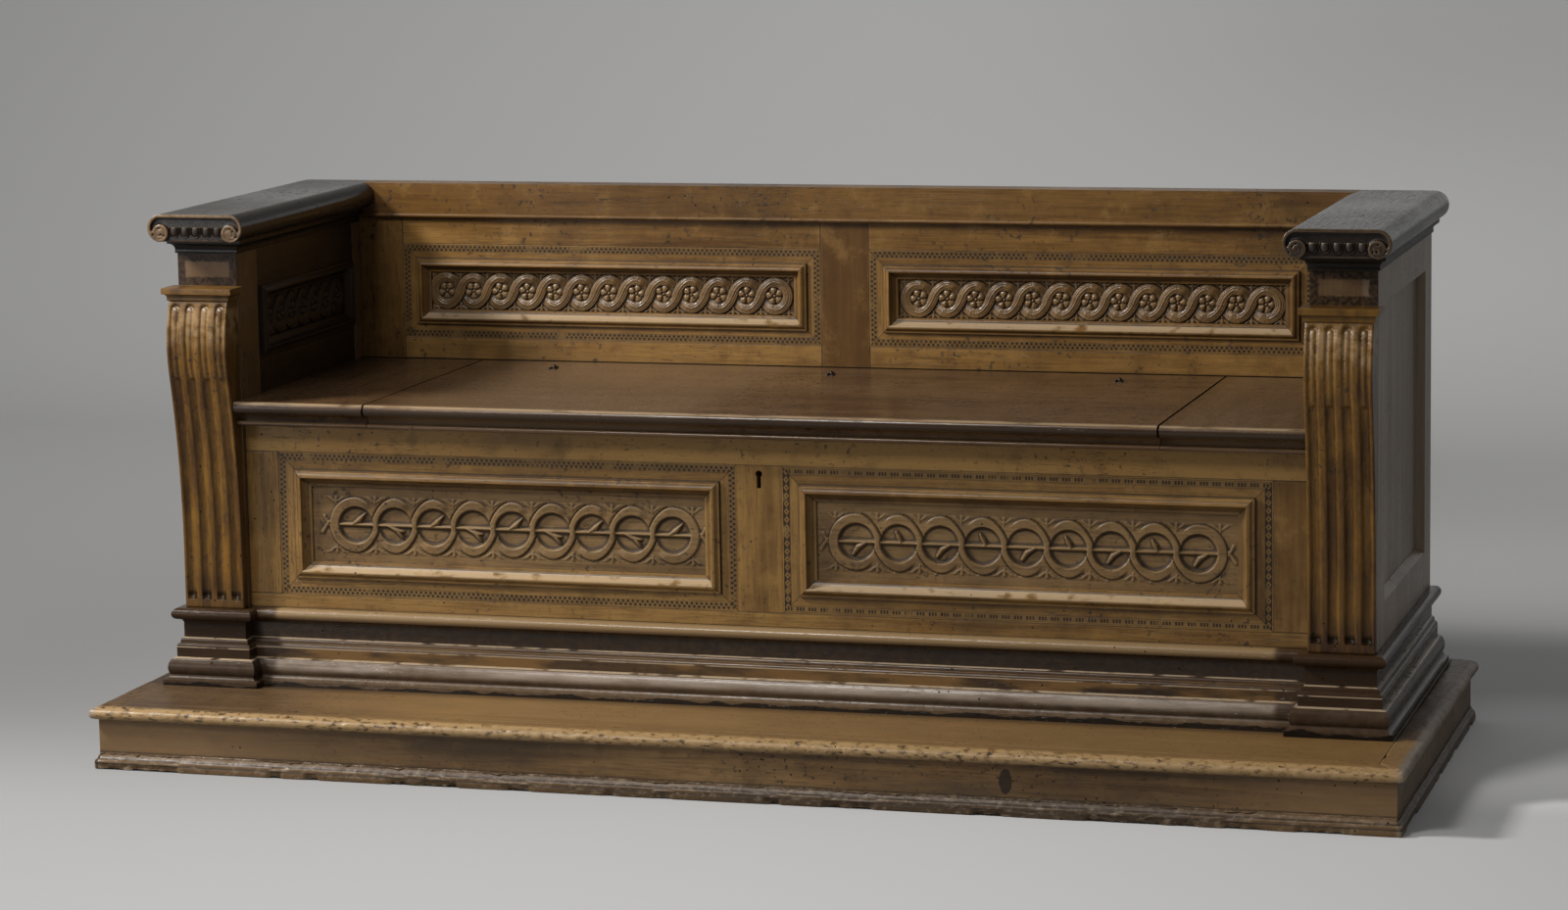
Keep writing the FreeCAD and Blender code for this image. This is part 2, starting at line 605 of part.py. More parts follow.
def console():
    """The S-curved console with flutes, filled by reeds in their upper part."""
    bend = console_arcs()[1]
    top = on_console(CONSOLE_HEIGHT)
    corners = [top, Vector(0, CONSOLE_HEIGHT, 0), Vector(0, 0, 0), on_console(0.0)]
    edges = [Part.makeLine(*ends) for ends in zip(corners, corners[1:])]
    edges += console_path((0.0, CONSOLE_STRAIGHT, bend, CONSOLE_HEIGHT))
    body = Part.Face(Part.Wire(edges)).extrude(Vector(0, 0, ARM_WIDTH))
    pitch = ARM_WIDTH / FLUTE_COUNT
    head = CONSOLE_HEIGHT - FLUTE_HEAD - FLUTE_RADIUS
    flute = curved_rod(FLUTE_RADIUS, FLUTE_RADIUS - FLUTE_DEPTH,
                       (FLUTE_FOOT + FLUTE_RADIUS, CONSOLE_STRAIGHT, bend, head))
    reed_top = head - REED_DROP
    reed_foot = reed_top + 2 * REED_RADIUS - REED_LENGTH
    reed = curved_rod(REED_RADIUS, -REED_RADIUS - REED_SINK, (reed_foot, reed_top))
    for number in range(FLUTE_COUNT):
        place = Vector(0, 0, pitch * (number + 0.5))
        body = body.cut(flute.translated(place)).fuse(reed.translated(place))
    return stand(body, Vector(HALF_BODY, POST_FRONT, PLINTH_TOP), Vector(0, -1, 0), UP), top.x


def necking(console_top):
    """The moulded cap of the console, returned on both sides."""
    lip = NECKING_HEIGHT - NECKING_FILLET

    def outline(reach):
        foot = reach + NECKING_FOOT_OUT
        full = reach + NECKING_OUT
        return section((0, 0), (foot, 0), (foot, NECKING_FOOT), (full - NECKING_LIP, lip, HOLLOW),
                       (full, lip), (full, NECKING_HEIGHT), (0, NECKING_HEIGHT))

    front = straight_run(outline(console_top), Vector(HALF_BODY + NECKING_OUT, POST_FRONT, NECKING_LOW),
                         Vector(HALF_INSIDE - NECKING_OUT, POST_FRONT, NECKING_LOW))
    middle = (HALF_BODY + HALF_INSIDE) / 2
    past_front = POST_FRONT - console_top - 2 * NECKING_OUT
    right = straight_run(outline(ARM_WIDTH / 2), Vector(middle, POST_FRONT, NECKING_LOW),
                         Vector(middle, past_front, NECKING_LOW))
    left = right.mirror(Vector(middle, 0, 0), Vector(1, 0, 0))
    return front.common(right.fuse(left).removeSplitter())


def scroll_disc(x, z, radius):
    """A round on the arm's front, as deep as the carving of the scrolls."""
    front = POST_FRONT - ARM_TOP_FRONT_OVERHANG
    return Part.makeCylinder(radius, SCROLL_DEPTH, Vector(x, front, z), Vector(0, 1, 0))


def scroll_grooves(x, outward):
    """The spiral groove of one scroll, in half turns below and above its eye that step inwards."""
    eye = ARM_TOP_SEAT + SCROLL_EYE_HEIGHT
    grooves = []
    for number in range(SCROLL_HALF_TURNS):
        radius = SCROLL_RADIUS - SCROLL_STEP * (number + 1)
        below = number % 2 == 0
        centre = x + outward * (SCROLL_STEP + SCROLL_MEET) if below else x
        ring = scroll_disc(centre, eye, radius).cut(scroll_disc(centre, eye, radius - SCROLL_GROOVE))
        half = ring.BoundBox
        side = (eye - radius, eye) if below else (eye, eye + radius)
        grooves.append(ring.common(box((half.XMin, half.XMax), (half.YMin, half.YMax), side)))
    return grooves


def arm_top():
    """The arm's flat top with rolled edges that end in scrolls in front."""
    radius = ARM_TOP_THICK / 2
    front = POST_FRONT - ARM_TOP_FRONT_OVERHANG
    left = HALF_INSIDE - ARM_TOP_INNER_OVERHANG + radius
    right = HALF_BODY + ARM_TOP_OUTER_OVERHANG - radius
    face = section((left, 0), (right, 0), (right, ARM_TOP_THICK, HALF_ROUND), (left, ARM_TOP_THICK),
                   (left, 0, HALF_ROUND))
    slab = stand(face, Vector(0, BODY_BACK, ARM_TOP_SEAT), Vector(1, 0, 0), UP)
    slab = slab.extrude(Vector(0, front - BODY_BACK, 0))
    hollow = box((left, right), (front, front + SCROLL_DEPTH), (ARM_TOP_SEAT, ARM_TOP - SCROLL_RIM))
    for x in (left, right):
        hollow = hollow.fuse(scroll_disc(x, ARM_TOP - radius, radius - SCROLL_RIM))
        hollow = hollow.cut(scroll_disc(x, ARM_TOP_SEAT + SCROLL_EYE_HEIGHT, SCROLL_RADIUS))
    return slab.cut([hollow, *scroll_grooves(left, -1), *scroll_grooves(right, 1)])


def side_frame():
    """Front and rear posts, sill and head of an arm's outer side, bevelled round the sunk panel."""
    posts = (PLINTH_TOP, ARM_TOP_SEAT)
    across = (HALF_INSIDE, HALF_BODY)
    rail_x = (HALF_BODY - SIDE_RAIL_THICK, HALF_BODY)
    gap = (FRONT_POST_BACK, REAR_POST_FRONT)
    opening = (PLINTH_TOP + SIDE_SILL_HEIGHT, ARM_TOP_SEAT - SIDE_HEAD_DROP)
    pieces = [box(across, (POST_FRONT, FRONT_POST_BACK), posts),
              box(across, (REAR_POST_FRONT, BODY_BACK), posts),
              box(rail_x, gap, (PLINTH_TOP, opening[0])), box(rail_x, gap, (opening[1], ARM_TOP_SEAT))]
    rims = []
    for x, grow in ((HALF_BODY - SIDE_PANEL_SINK, 0.0), (HALF_BODY, SIDE_BEVEL)):
        rims.append(Part.makePolygon([Vector(x, y, z) for y, z in (
            (gap[0] - grow, opening[0] - grow), (gap[1] + grow, opening[0] - grow),
            (gap[1] + grow, opening[1] + grow), (gap[0] - grow, opening[1] + grow),
            (gap[0] - grow, opening[0] - grow))]))
    bevel = Part.makeLoft(rims, True, True)
    panel_x = (HALF_BODY - SIDE_PANEL_SINK - SIDE_PANEL_THICK, HALF_BODY - SIDE_PANEL_SINK)
    return [piece.cut(bevel) for piece in pieces], [box(panel_x, gap, opening)]


def arm():
    """One arm, drawn on the right: side frame, inner face, console, capital and top."""
    frame, panel = side_frame()
    gap = (FRONT_POST_BACK, REAR_POST_FRONT)
    inner_x = (HALF_INSIDE, HALF_INSIDE + INNER_BOARD)
    inner_boards = [box(inner_x, gap, (PLINTH_TOP, ARM_FRAME_LOW)),
                    box(inner_x, gap, (ARM_FRAME_HIGH, ARM_TOP_SEAT))]
    inner_frame, inner_panel = framed_panel(
        Vector(HALF_INSIDE, gap[0], ARM_FRAME_LOW), Vector(HALF_INSIDE, gap[1], ARM_FRAME_HIGH),
        Vector(0, 1, 0), Vector(-1, 0, 0), ARM_FLAT, BACK_MOULDING)
    fillet = CROWN_HEIGHT - CROWN_FILLET
    crown = section((0, 0), (CROWN_FOOT_OUT, 0), (CROWN_FOOT_OUT, CROWN_FOOT),
                    (CROWN_OUT - CROWN_LIP, fillet, HOLLOW), (CROWN_OUT, fillet),
                    (CROWN_OUT, CROWN_HEIGHT), (0, CROWN_HEIGHT))
    under = ARM_TOP_SEAT - CROWN_HEIGHT
    rail_front = BACKREST_FACE - BACK_TOP_PROUD
    around = [Vector(HALF_BODY, BODY_BACK, under), Vector(HALF_BODY, POST_FRONT, under),
              Vector(HALF_INSIDE, POST_FRONT, under), Vector(HALF_INSIDE, rail_front, under)]
    front, console_top = console()
    return {
        "side_frame": frame,
        "side_panel": panel,
        "inner_boards": inner_boards,
        "inner_frame": inner_frame,
        "inner_panel": inner_panel,
        "console": [front],
        "necking": [necking(console_top)],
        "crown": mitred_run(crown, around, UP),
        "top": [arm_top()],
    }


def arms():
    """Both arms, the left one a mirror of the right."""
    right = arm()
    pieces = {f"arm_right_{name}": solids for name, solids in right.items()}
    pieces.update({f"arm_left_{name}": mirrored(solids) for name, solids in right.items()})
    return pieces


def backrest(arm_pieces):
    """The panelled back between the arms, under a heavy top rail that is fitted round the arm tops."""
    depth = (BACKREST_FACE, BACKREST_FACE + BACK_FRAME_THICK)
    inner = HALF_INSIDE - BACK_END_STILE
    half_centre = BACK_CENTRE_STILE / 2
    tall = (SEAT_TOP, BACK_RAIL_BOTTOM)
    proud = BACK_FACE + BACK_TOP_PROUD
    face = section((0, 0), (proud, 0), (proud, BACK_BEAD, HALF_ROUND), (proud, BACK_TOP_RAIL),
                   (0, BACK_TOP_RAIL))
    rail = straight_run(face, Vector(HALF_INSIDE, BODY_BACK, BACK_RAIL_BOTTOM),
                        Vector(-HALF_INSIDE, BODY_BACK, BACK_RAIL_BOTTOM))
    rail = rail.cut(arm_pieces)
    end_stile = [box((inner, HALF_INSIDE), depth, tall)]
    rails = [box((half_centre, inner), depth, (SEAT_TOP, BACK_FRAME_LOW)),
             box((half_centre, inner), depth, (BACK_FRAME_HIGH, BACK_RAIL_BOTTOM))]
    frame, panel = framed_panel(
        Vector(half_centre, BACKREST_FACE, BACK_FRAME_LOW), Vector(inner, BACKREST_FACE, BACK_FRAME_HIGH),
        Vector(1, 0, 0), Vector(0, -1, 0), BACK_FLAT, BACK_MOULDING)
    return {
        "back_top_rail": [rail],
        "back_centre_stile": [box((-half_centre, half_centre), depth, tall)],
        "back_end_stiles": end_stile + mirrored(end_stile),
        "back_rails": rails + mirrored(rails),
        "back_right_frame": frame,
        "back_left_frame": mirrored(frame),
        "back_right_panel": panel,
        "back_left_panel": mirrored(panel),
    }


def main():
    both = arms()
    nodes = {**platform(), **plinth(), **chest(), **seat(), **lock(), **both,
             **backrest([solid for side in ("right", "left") for name in ("top", "crown")
                         for solid in both[f"arm_{side}_{name}"]])}
    os.makedirs("parts", exist_ok=True)
    centred = Vector(0, -PLATFORM_DEPTH / 2, 0)
    for name, solids in nodes.items():
        shape = Part.makeCompound([solid.translated(centred) for solid in solids])
        shape.exportStep(f"parts/{name}.step")
        state = "valid" if shape.isValid() else "INVALID"
        print(name, len(shape.Solids), "solids", state, round(shape.Volume))


main()
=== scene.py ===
# %% [markdown]
# # A walnut chest-bench with arms
# The bench is a long chest with a hinged seat, a panelled back and an arm at each end, on a low
# platform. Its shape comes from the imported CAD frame. This lesson turns that exact, new-looking
# frame into old furniture: softened edges, carved panels, inlaid bands, and wood with wear.

# %% Load the frame
import json
import math

import bpy
import numpy as np
from mathutils import Matrix, Vector


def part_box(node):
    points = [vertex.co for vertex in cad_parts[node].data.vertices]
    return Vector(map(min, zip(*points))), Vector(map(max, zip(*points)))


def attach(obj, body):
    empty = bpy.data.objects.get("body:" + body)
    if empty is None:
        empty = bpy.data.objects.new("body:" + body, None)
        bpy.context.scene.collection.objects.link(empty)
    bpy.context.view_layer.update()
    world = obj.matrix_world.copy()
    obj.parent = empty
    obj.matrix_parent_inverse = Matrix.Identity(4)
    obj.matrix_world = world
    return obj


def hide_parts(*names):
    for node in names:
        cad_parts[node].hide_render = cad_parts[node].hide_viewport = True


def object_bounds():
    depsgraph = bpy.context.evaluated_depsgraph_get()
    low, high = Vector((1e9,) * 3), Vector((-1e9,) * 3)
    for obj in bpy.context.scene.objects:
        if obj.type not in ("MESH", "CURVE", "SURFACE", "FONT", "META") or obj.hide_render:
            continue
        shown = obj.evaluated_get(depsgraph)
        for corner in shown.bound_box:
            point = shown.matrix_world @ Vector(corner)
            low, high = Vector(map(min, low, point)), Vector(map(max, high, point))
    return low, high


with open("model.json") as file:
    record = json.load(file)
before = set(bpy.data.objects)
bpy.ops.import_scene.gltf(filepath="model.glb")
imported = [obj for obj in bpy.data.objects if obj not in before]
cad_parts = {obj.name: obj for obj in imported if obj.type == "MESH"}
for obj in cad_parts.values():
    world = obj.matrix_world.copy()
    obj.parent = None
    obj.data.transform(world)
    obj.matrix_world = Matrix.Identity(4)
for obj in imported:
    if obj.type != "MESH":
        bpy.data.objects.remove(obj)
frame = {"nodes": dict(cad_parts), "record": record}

cad_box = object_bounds()
print("frame:", len(frame["nodes"]), "nodes, box", np.round(cad_box, 4).tolist())

# %% [markdown]
# ## Shader maths as plain expressions
# Wood needs a lot of small sums: mix this brown with that one where a band of grain is dark and
# an edge is worn. Placing those nodes by hand hides the thought, so one small class wraps a
# socket and lets the sums be written as Python.

# %% A socket that can be added, multiplied and mixed
def operator(operation, swapped=False):
    """A method that puts a socket, and another value if there is one, into a Math node."""
    def method(*values):
        return values[0].maths(operation, *(values[::-1] if swapped else values))
    return method


def thousandths(colour):
    """Colours are written in thousandths of red, green and blue."""
    return (*(level / 1000 for level in colour), 1)


class Socket:
    def __init__(self, tree, out=None):
        self.tree, self.out = tree, out

    def add(self, kind, settings=None, sockets=None, output=0):
        node = self.tree.nodes.new("ShaderNode" + kind)
        for key, value in (settings or {}).items():
            setattr(node, key, value)
        for key, value in (sockets or {}).items():
            if isinstance(value, Socket):
                self.tree.links.new(value.out, node.inputs[key])
            else:
                node.inputs[key].default_value = value
        return Socket(self.tree, node.outputs[output])

    def maths(self, operation, *values):
        return self.add("Math", {"operation": operation}, dict(enumerate(values)))

    __add__, __radd__ = operator("ADD"), operator("ADD", True)
    __sub__, __rsub__ = operator("SUBTRACT"), operator("SUBTRACT", True)
    __mul__, __rmul__ = operator("MULTIPLY"), operator("MULTIPLY", True)
    __truediv__, __mod__ = operator("DIVIDE"), operator("FLOORED_MODULO")
    __lt__, __gt__, __abs__ = operator("LESS_THAN"), operator("GREATER_THAN"), operator("ABSOLUTE")
    least, most = operator("MINIMUM"), operator("MAXIMUM")

    def between(self, low, high):
        """0 below low, 1 above high, a soft step between them."""
        return self.add("MapRange", {"interpolation_type": "SMOOTHSTEP"},
                        {"Value": self, "From Min": low, "From Max": high})

    def stretch(self, x, y, z):
        return self.add("VectorMath", {"operation": "MULTIPLY"}, {0: self, 1: (x, y, z)})

    def axes(self):
        split = self.add("SeparateXYZ", None, {0: self})
        return [Socket(self.tree, out) for out in split.out.node.outputs]

    def noise(self, scale, detail=2.0, rough=0.5, warp=0.0):
        return self.add("TexNoise", None, {"Vector": self, "Scale": scale, "Detail": detail,
                                           "Roughness": rough, "Distortion": warp})

    def mix(self, other, share):
        """This colour, with the other one laid over it by share."""
        sockets = {0: share, 6: self, 7: other if isinstance(other, Socket) else thousandths(other)}
        return self.add("Mix", {"data_type": "RGBA"}, sockets, output=2)

    def layers(self, *layers):
        colour = self
        for other, share in layers:
            colour = colour.mix(other, share)
        return colour

    def redder(self):
        """This colour with less green and blue in it, as where old varnish lies thick."""
        return self.add("VectorMath", {"operation": "MULTIPLY"}, {0: self, 1: (0.95, 0.82, 0.66)})

    def paint(self, deep, light):
        """A colour between two others, by this value."""
        sockets = {0: self, 6: thousandths(deep), 7: thousandths(light)}
        return self.add("Mix", {"data_type": "RGBA"}, sockets, output=2)


print("sockets ready")

# %% [markdown]
# ## Old walnut
# Walnut shows long soft bands of darker wood, fine fibres along the board, and pores. Four
# centuries add wax, grime in the hollows, bare pale wood where edges rub, stains and the small
# round holes of woodworm. Every board carries three attributes, made further down: `grain` is a
# place measured along, across and through the board, `tone` makes neighbours differ, and `edge`
# is above zero on ridges and below zero in hollows.
# On the front top rail, `tone` also lightens the wood as painted light.

# %% The walnut finish
def finish_tree(name):
    material = bpy.data.materials.new(name)
    material.use_nodes = True
    material.node_tree.nodes.clear()
    return material, Socket(material.node_tree)


def grey(level):
    return (level,) * 3


def close_tree(start, sockets, void=None, empty="BsdfDiffuse", colour=(0.004, 0.003, 0.002, 1)):
    """The void is where another shader shows: a hole or a gap swallows the light, and some places are
    darkened as painted shade.
    """
    shader = start.add("BsdfPrincipled", None, sockets)
    if void is not None:
        other = start.add(empty, None, {"Color": colour})
        shader = start.add("MixShader", None, {0: void, 1: shader, 2: other})
    surface = start.tree.nodes.new("ShaderNodeOutputMaterial").inputs["Surface"]
    start.tree.links.new(shader.out, surface)


def walnut(name, colours, gloss=0.36, worms=0.25, rub=0.6, dirt=0.85, shine=0.35, relief=0.001,
           nick=1.2, joint=0.0, marks=None, gaps=None):
    """The colours are those of deep, body, bright and bare wood.
    rub, dirt and joint say how far ridges, hollows and board edges show bare wood or grime.
    marks paints stains, wear, and painted light and shade over one place; gaps says where a near-black
    shader is mixed in."""
    deep, body, bright, bare = colours
    material, start = finish_tree(name)
    grain = start.add("Attribute", {"attribute_name": "grain"}, output="Vector")
    tone = start.add("Attribute", {"attribute_name": "tone"}, output="Fac")
    edge = start.add("Attribute", {"attribute_name": "edge"}, output="Fac")
    place = start.add("TexCoord", output="Object")

    bands = grain.stretch(1.5, 22, 22).noise(1, 5, 0.6, 1.2)
    drift = grain.stretch(0.9, 5, 5).noise(1, 2)
    streak = grain.stretch(4, 95, 95).noise(1, 4, 0.62, 0.6)
    fibre = grain.stretch(14, 330, 330).noise(1, 3, 0.65)
    pore = grain.stretch(30, 900, 900).noise(1, 1).between(0.6, 0.75)
    colour = bands.between(0.3, 0.6).paint(deep, body)
    colour = colour.layers(
        (bright, drift.between(0.42, 0.66) * 0.65),
        (deep, streak.between(0.5, 0.7) * 0.55),
        (bright, streak.between(0.5, 0.32) * 0.3),
        (deep, fibre.between(0.46, 0.7) * 0.5 + pore * 0.3),
        (deep, tone.between(0, 2) * 0.9),
        (bright, (0 - tone).between(0, 2) * 0.7))

    blotch = place.noise(4.3, 3)
    smudge = place.noise(2.4, 5, 0.65).between(0.5, 0.7)
    speck = place.noise(95, 3, 0.6).between(0.58, 0.68) * place.noise(6, 3).between(0.4, 0.6)
    scratch = (grain.stretch(26, 260, 260).noise(1, 2, 0.5, 2.0).between(0.63, 0.69)
               * place.noise(3.4, 2).between(0.42, 0.58))
    varnish = place.noise(3.1, 4, 0.6).between(0.48, 0.66) * 0.5
    backrest = place.axes()[1].between(0.3, 0.34)
    colour = colour.mix(colour.redder(), varnish.most(backrest * 0.4))
    mottle = place.noise(17, 6, 0.7)
    colour = colour.layers(
        (deep, mottle.between(0.5, 0.7) * 0.5),
        (bright, mottle.between(0.5, 0.32) * 0.35),
        (GRIME_AND_SHADE, smudge * 0.38 + speck * 0.75 + scratch * 0.7))

    ridge = (edge + (place.noise(46, 3) - 0.5) * nick).between(0.25, 0.9) * blotch.between(0.3, 0.6)
    hollow = ((0 - edge) + (place.noise(60, 2) - 0.5) * 0.8).between(0.1, 0.8)
    colour = colour.layers(
        (bare, ridge * rub),
        (GRIME_AND_SHADE, (hollow * dirt).most(edge.between(0.7, 0.95) * joint)))
    if marks:
        colour = marks(colour, place)

    cell = start.add("TexVoronoi", None, {"Vector": place, "Scale": 60.0})
    chosen = Socket(start.tree, cell.out.node.outputs["Color"]).axes()[0]
    hole = (cell < 0.095) * (chosen < worms) * place.noise(2.6, 2).between(0.4, 0.56)
    void = hole * 0.9 if gaps is None else (hole * 0.9).most(gaps(place))

    rough = gloss + (fibre - 0.5) * 0.2 + (blotch - 0.5) * 0.2 + hollow * 0.25 + hole * 0.3 + speck * 0.15
    height = (fibre * 0.06 + place.noise(16, 3) * 0.6 + place.noise(130, 2) * 0.08 + streak * 0.08
              - pore * 0.05 - hole * 0.9 - scratch * 0.2)
    bump = start.add("Bump", None, {"Strength": 1.0, "Distance": relief, "Height": height}, output="Normal")
    close_tree(start, {"Base Color": colour, "Roughness": rough, "Normal": bump,
                       "Specular IOR Level": shine}, void)
    return material


# GRIME_AND_SHADE is the colour of grime, and of painted shade in the frames' mouldings
GRIME_AND_SHADE = (14, 9.5, 6.5)
print("walnut ready")

# %% [markdown]
# ## The finishes of this bench
# The front and the back are golden, the seat is darker and smoother from use, the arm tops are
# almost black, and the outer sides are weathered grey, painted paler as a reflection. Some marks
# belong to one place, such as the polish that feet left on the platform; others are painted light
# and shade, such as the sheen on the plinth and the left arm's shadow on the seat. They are painted
# by a place on the bench, in metres. Gaps are dark places that must not shine: open joints, a dull
# border, the crown under each arm's top, and the feet of the flutes, whose dark is painted shade.

# %% Marks that belong to one place
BLOCK_X, BLOCK_Z, BLOCK_WIDE, BLOCK_HIGH = 0.947, 0.801, 0.053, 0.027
LID_END, HINGE_LINE = 0.6636, 0.2696


def block_front(place):
    """On the front of the block over each console: where it is, and the field inside its border."""
    x, y, z = place.axes()
    aside, above = abs(abs(x) - BLOCK_X), abs(z - BLOCK_Z)
    inside = (BLOCK_WIDE - aside).least(BLOCK_HIGH - above) * 1000 + (place.noise(120, 3) - 0.5) * 5
    return (y < -0.1785) * (above < BLOCK_HIGH), inside.between(12, 16)


def block_gaps(place):
    """The border is too dull to shine."""
    front, field = block_front(place)
    return front * (0.6 - field * 0.4)


def side_marks(colour, place):
    """Grey outside, weathered and painted paler as a reflection, brown inside, and on the block over each
    console a dark border round a field.
    """
    x, y, _ = place.axes()
    outer = abs(x).between(0.972, 0.98)
    boards = place.stretch(3, 48, 1.3).noise(1, 4, 0.6)
    weathered_and_reflection = boards.between(0.3, 0.7).paint((125, 93, 62), (215, 166, 116))
    seam = (abs(abs(y - 0.1) - 0.075) < 0.0012) * (abs(x) < 0.99) * outer
    front, field = block_front(place)
    border = place.noise(150, 3).between(0.36, 0.6).paint((110, 56, 26), (20, 11, 6))
    return colour.layers(
        # weathered grey, painted paler as a reflection
        (weathered_and_reflection, outer * 0.85),
        ((8, 7, 6), seam * 0.8),
        (border, front * (1 - field) * 0.85),
        ((100, 50, 16), front * field * (x.between(0.3, -0.3) * 0.5 + 0.3)))


def capital_wear_and_light(colour, place):
    """The rim and the scrolls stand in the front plane. They are tan, strongly on the left arm, where they
    are worn and painted light as lit from the left.
    """
    x, y, _ = place.axes()
    face = 1 - y.between(-0.2312, -0.2296)
    worn = place.noise(85, 3).between(0.3, 0.6)
    return colour.mix((170, 100, 48), face * (x.between(0.2, -0.2) * 0.5 + 0.08) * (0.4 + worn * 0.6))


def crown_darkening(place):
    """Below the arm's top, a near-black shader is mixed into the crown, so it is darker and does not shine.
    """
    return place.axes()[2].between(0.852, 0.849) * 0.45


def console_stains_and_highlight(colour, place):
    """Dark stains that run down the flutes, darker towards the bottom, and a paler shoulder that is a
    painted highlight.
    """
    z = place.axes()[2]
    stain = place.stretch(34, 34, 5).noise(1, 5, 0.65).between(0.46, 0.66)
    colour = colour.mix((26, 11, 4), stain * 0.6 + z.between(0.31, 0.24) * 0.45)
    shoulder_highlight = z.between(0.66, 0.72) * (1 - z.between(0.735, 0.745)) * place.noise(60, 4).between(0.35, 0.6)
    return colour.mix((270, 175, 85), shoulder_highlight * 0.45)


def flute_foot_shade(place):
    """The feet of the flutes get a near-black shader: painted shade, which also hides their glints."""
    x, _, z = place.axes()
    across = abs((abs(x) - 0.894) % 0.0265 - 0.01325)
    return (across < 0.0085) * z.between(0.2645, 0.255) * (z > 0.247) * 0.8


def seat_gaps(place):
    """The open joints between the lid and the seat's fixed ends, and along the backrest."""
    x, y, z = place.axes()
    ends = (abs(abs(x) - LID_END) < 0.0019) * (z > 0.5835).most(y < -0.205)
    return ends.most(abs(y - 0.3575) < 0.0045)


def seat_marks(colour, place):
    """A left end painted dark as the left arm's shadow, and lighter patches on the lid, painted light on
    its left part. The nosing is worn pale along its upper edge, with a painted highlight there and painted
    shade below it.
    """
    x, y, z = place.axes()
    pale = (abs(x + 0.36).between(0.32, 0.2) * 0.4).most(x.between(0.66, 0.7) * 0.3)
    front = 1 - y.between(-0.2175, -0.2105)
    worn = place.stretch(14, 60, 60).noise(1, 4).between(0.3, 0.5)
    arris_wear_and_highlight = (1 - y.between(-0.2145, -0.2085)) * z.between(0.5805, 0.583)
    return colour.layers(
        (GRIME_AND_SHADE, (abs(y - HINGE_LINE) < 0.0014) * (abs(x) < LID_END) * 0.7),
        # painted shadow of the left arm on the seat's left end
        ((16, 9, 5), (0 - x).between(0.66, 0.88) * 0.5),
        # lighter patches; on the lid's left part they are painted light
        ((150, 95, 52), pale),
        # painted shade below the nosing's upper edge
        ((20, 12, 7), front * (1 - z.between(0.577, 0.5815)) * 0.85),
        # the nosing's upper edge, worn pale and painted as a highlight
        ((450, 340, 210), arris_wear_and_highlight * worn * 0.35),
        ((8, 5, 3), y.between(0.348, 0.3515) * (y < 0.362) * 0.9),
        ((110, 60, 25), (abs(z - 0.5495) < 0.0025) * (y < -0.17) * worn * 0.6))


def lines(value, half, first, *others):
    """1 where the value is within half of one of the levels."""
    found = abs(value - first) < half
    for level in others:
        found = found.most(abs(value - level) < half)
    return found


def plinth_marks(colour, place):
    """From the top down: a golden torus with a painted highlight, a dark cove and frieze, a brown fascia, a
    swell with a painted sheen, a torn foot. The pedestals at the ends are darker."""
    x, _, z = place.axes()
    low = 1 - z.between(0.146, 0.151)
    painted_sheen = z.between(0.126, 0.136) * (1 - z.between(0.143, 0.148))
    fascia = z.between(0.148, 0.151) * (1 - z.between(0.164, 0.168))
    dark = z.between(0.176, 0.183) * (1 - z.between(0.21, 0.216))
    middle = 1 - abs(x).between(0.835, 0.85)
    mottle = place.noise(70, 4).between(0.38, 0.62)
    patch = place.stretch(7, 7, 30).noise(1, 4).between(0.36, 0.56)
    cloud = place.stretch(6, 6, 40).noise(1, 5, 0.65).between(0.3, 0.66)
    torn = place.stretch(16, 16, 1).noise(1, 4, 0.6)
    worn = place.stretch(30, 30, 60).noise(1, 4).between(0.34, 0.5)
    return colour.layers(
        ((100, 70, 45), low * (0.3 + mottle * 0.3)),
        ((270, 220, 175), painted_sheen * (0.15 + cloud * 0.6) * middle),
        ((130, 68, 21), fascia * patch * 0.85 * middle),
        # painted highlight on the golden torus
        ((200, 130, 62), z.between(0.212, 0.218) * 0.8 * middle),
        ((20, 12, 7), dark * (0.55 + mottle * 0.35) + fascia * (1 - patch) * 0.5),
        ((26, 14, 7), (1 - middle) * 0.6),
        ((6, 4, 3), (z < torn * 0.024 + x * 0.002 + 0.0985) * 0.9),
        ((330, 250, 165), lines(z, 0.001, 0.1488, 0.1664, 0.1812) * worn * 0.7))


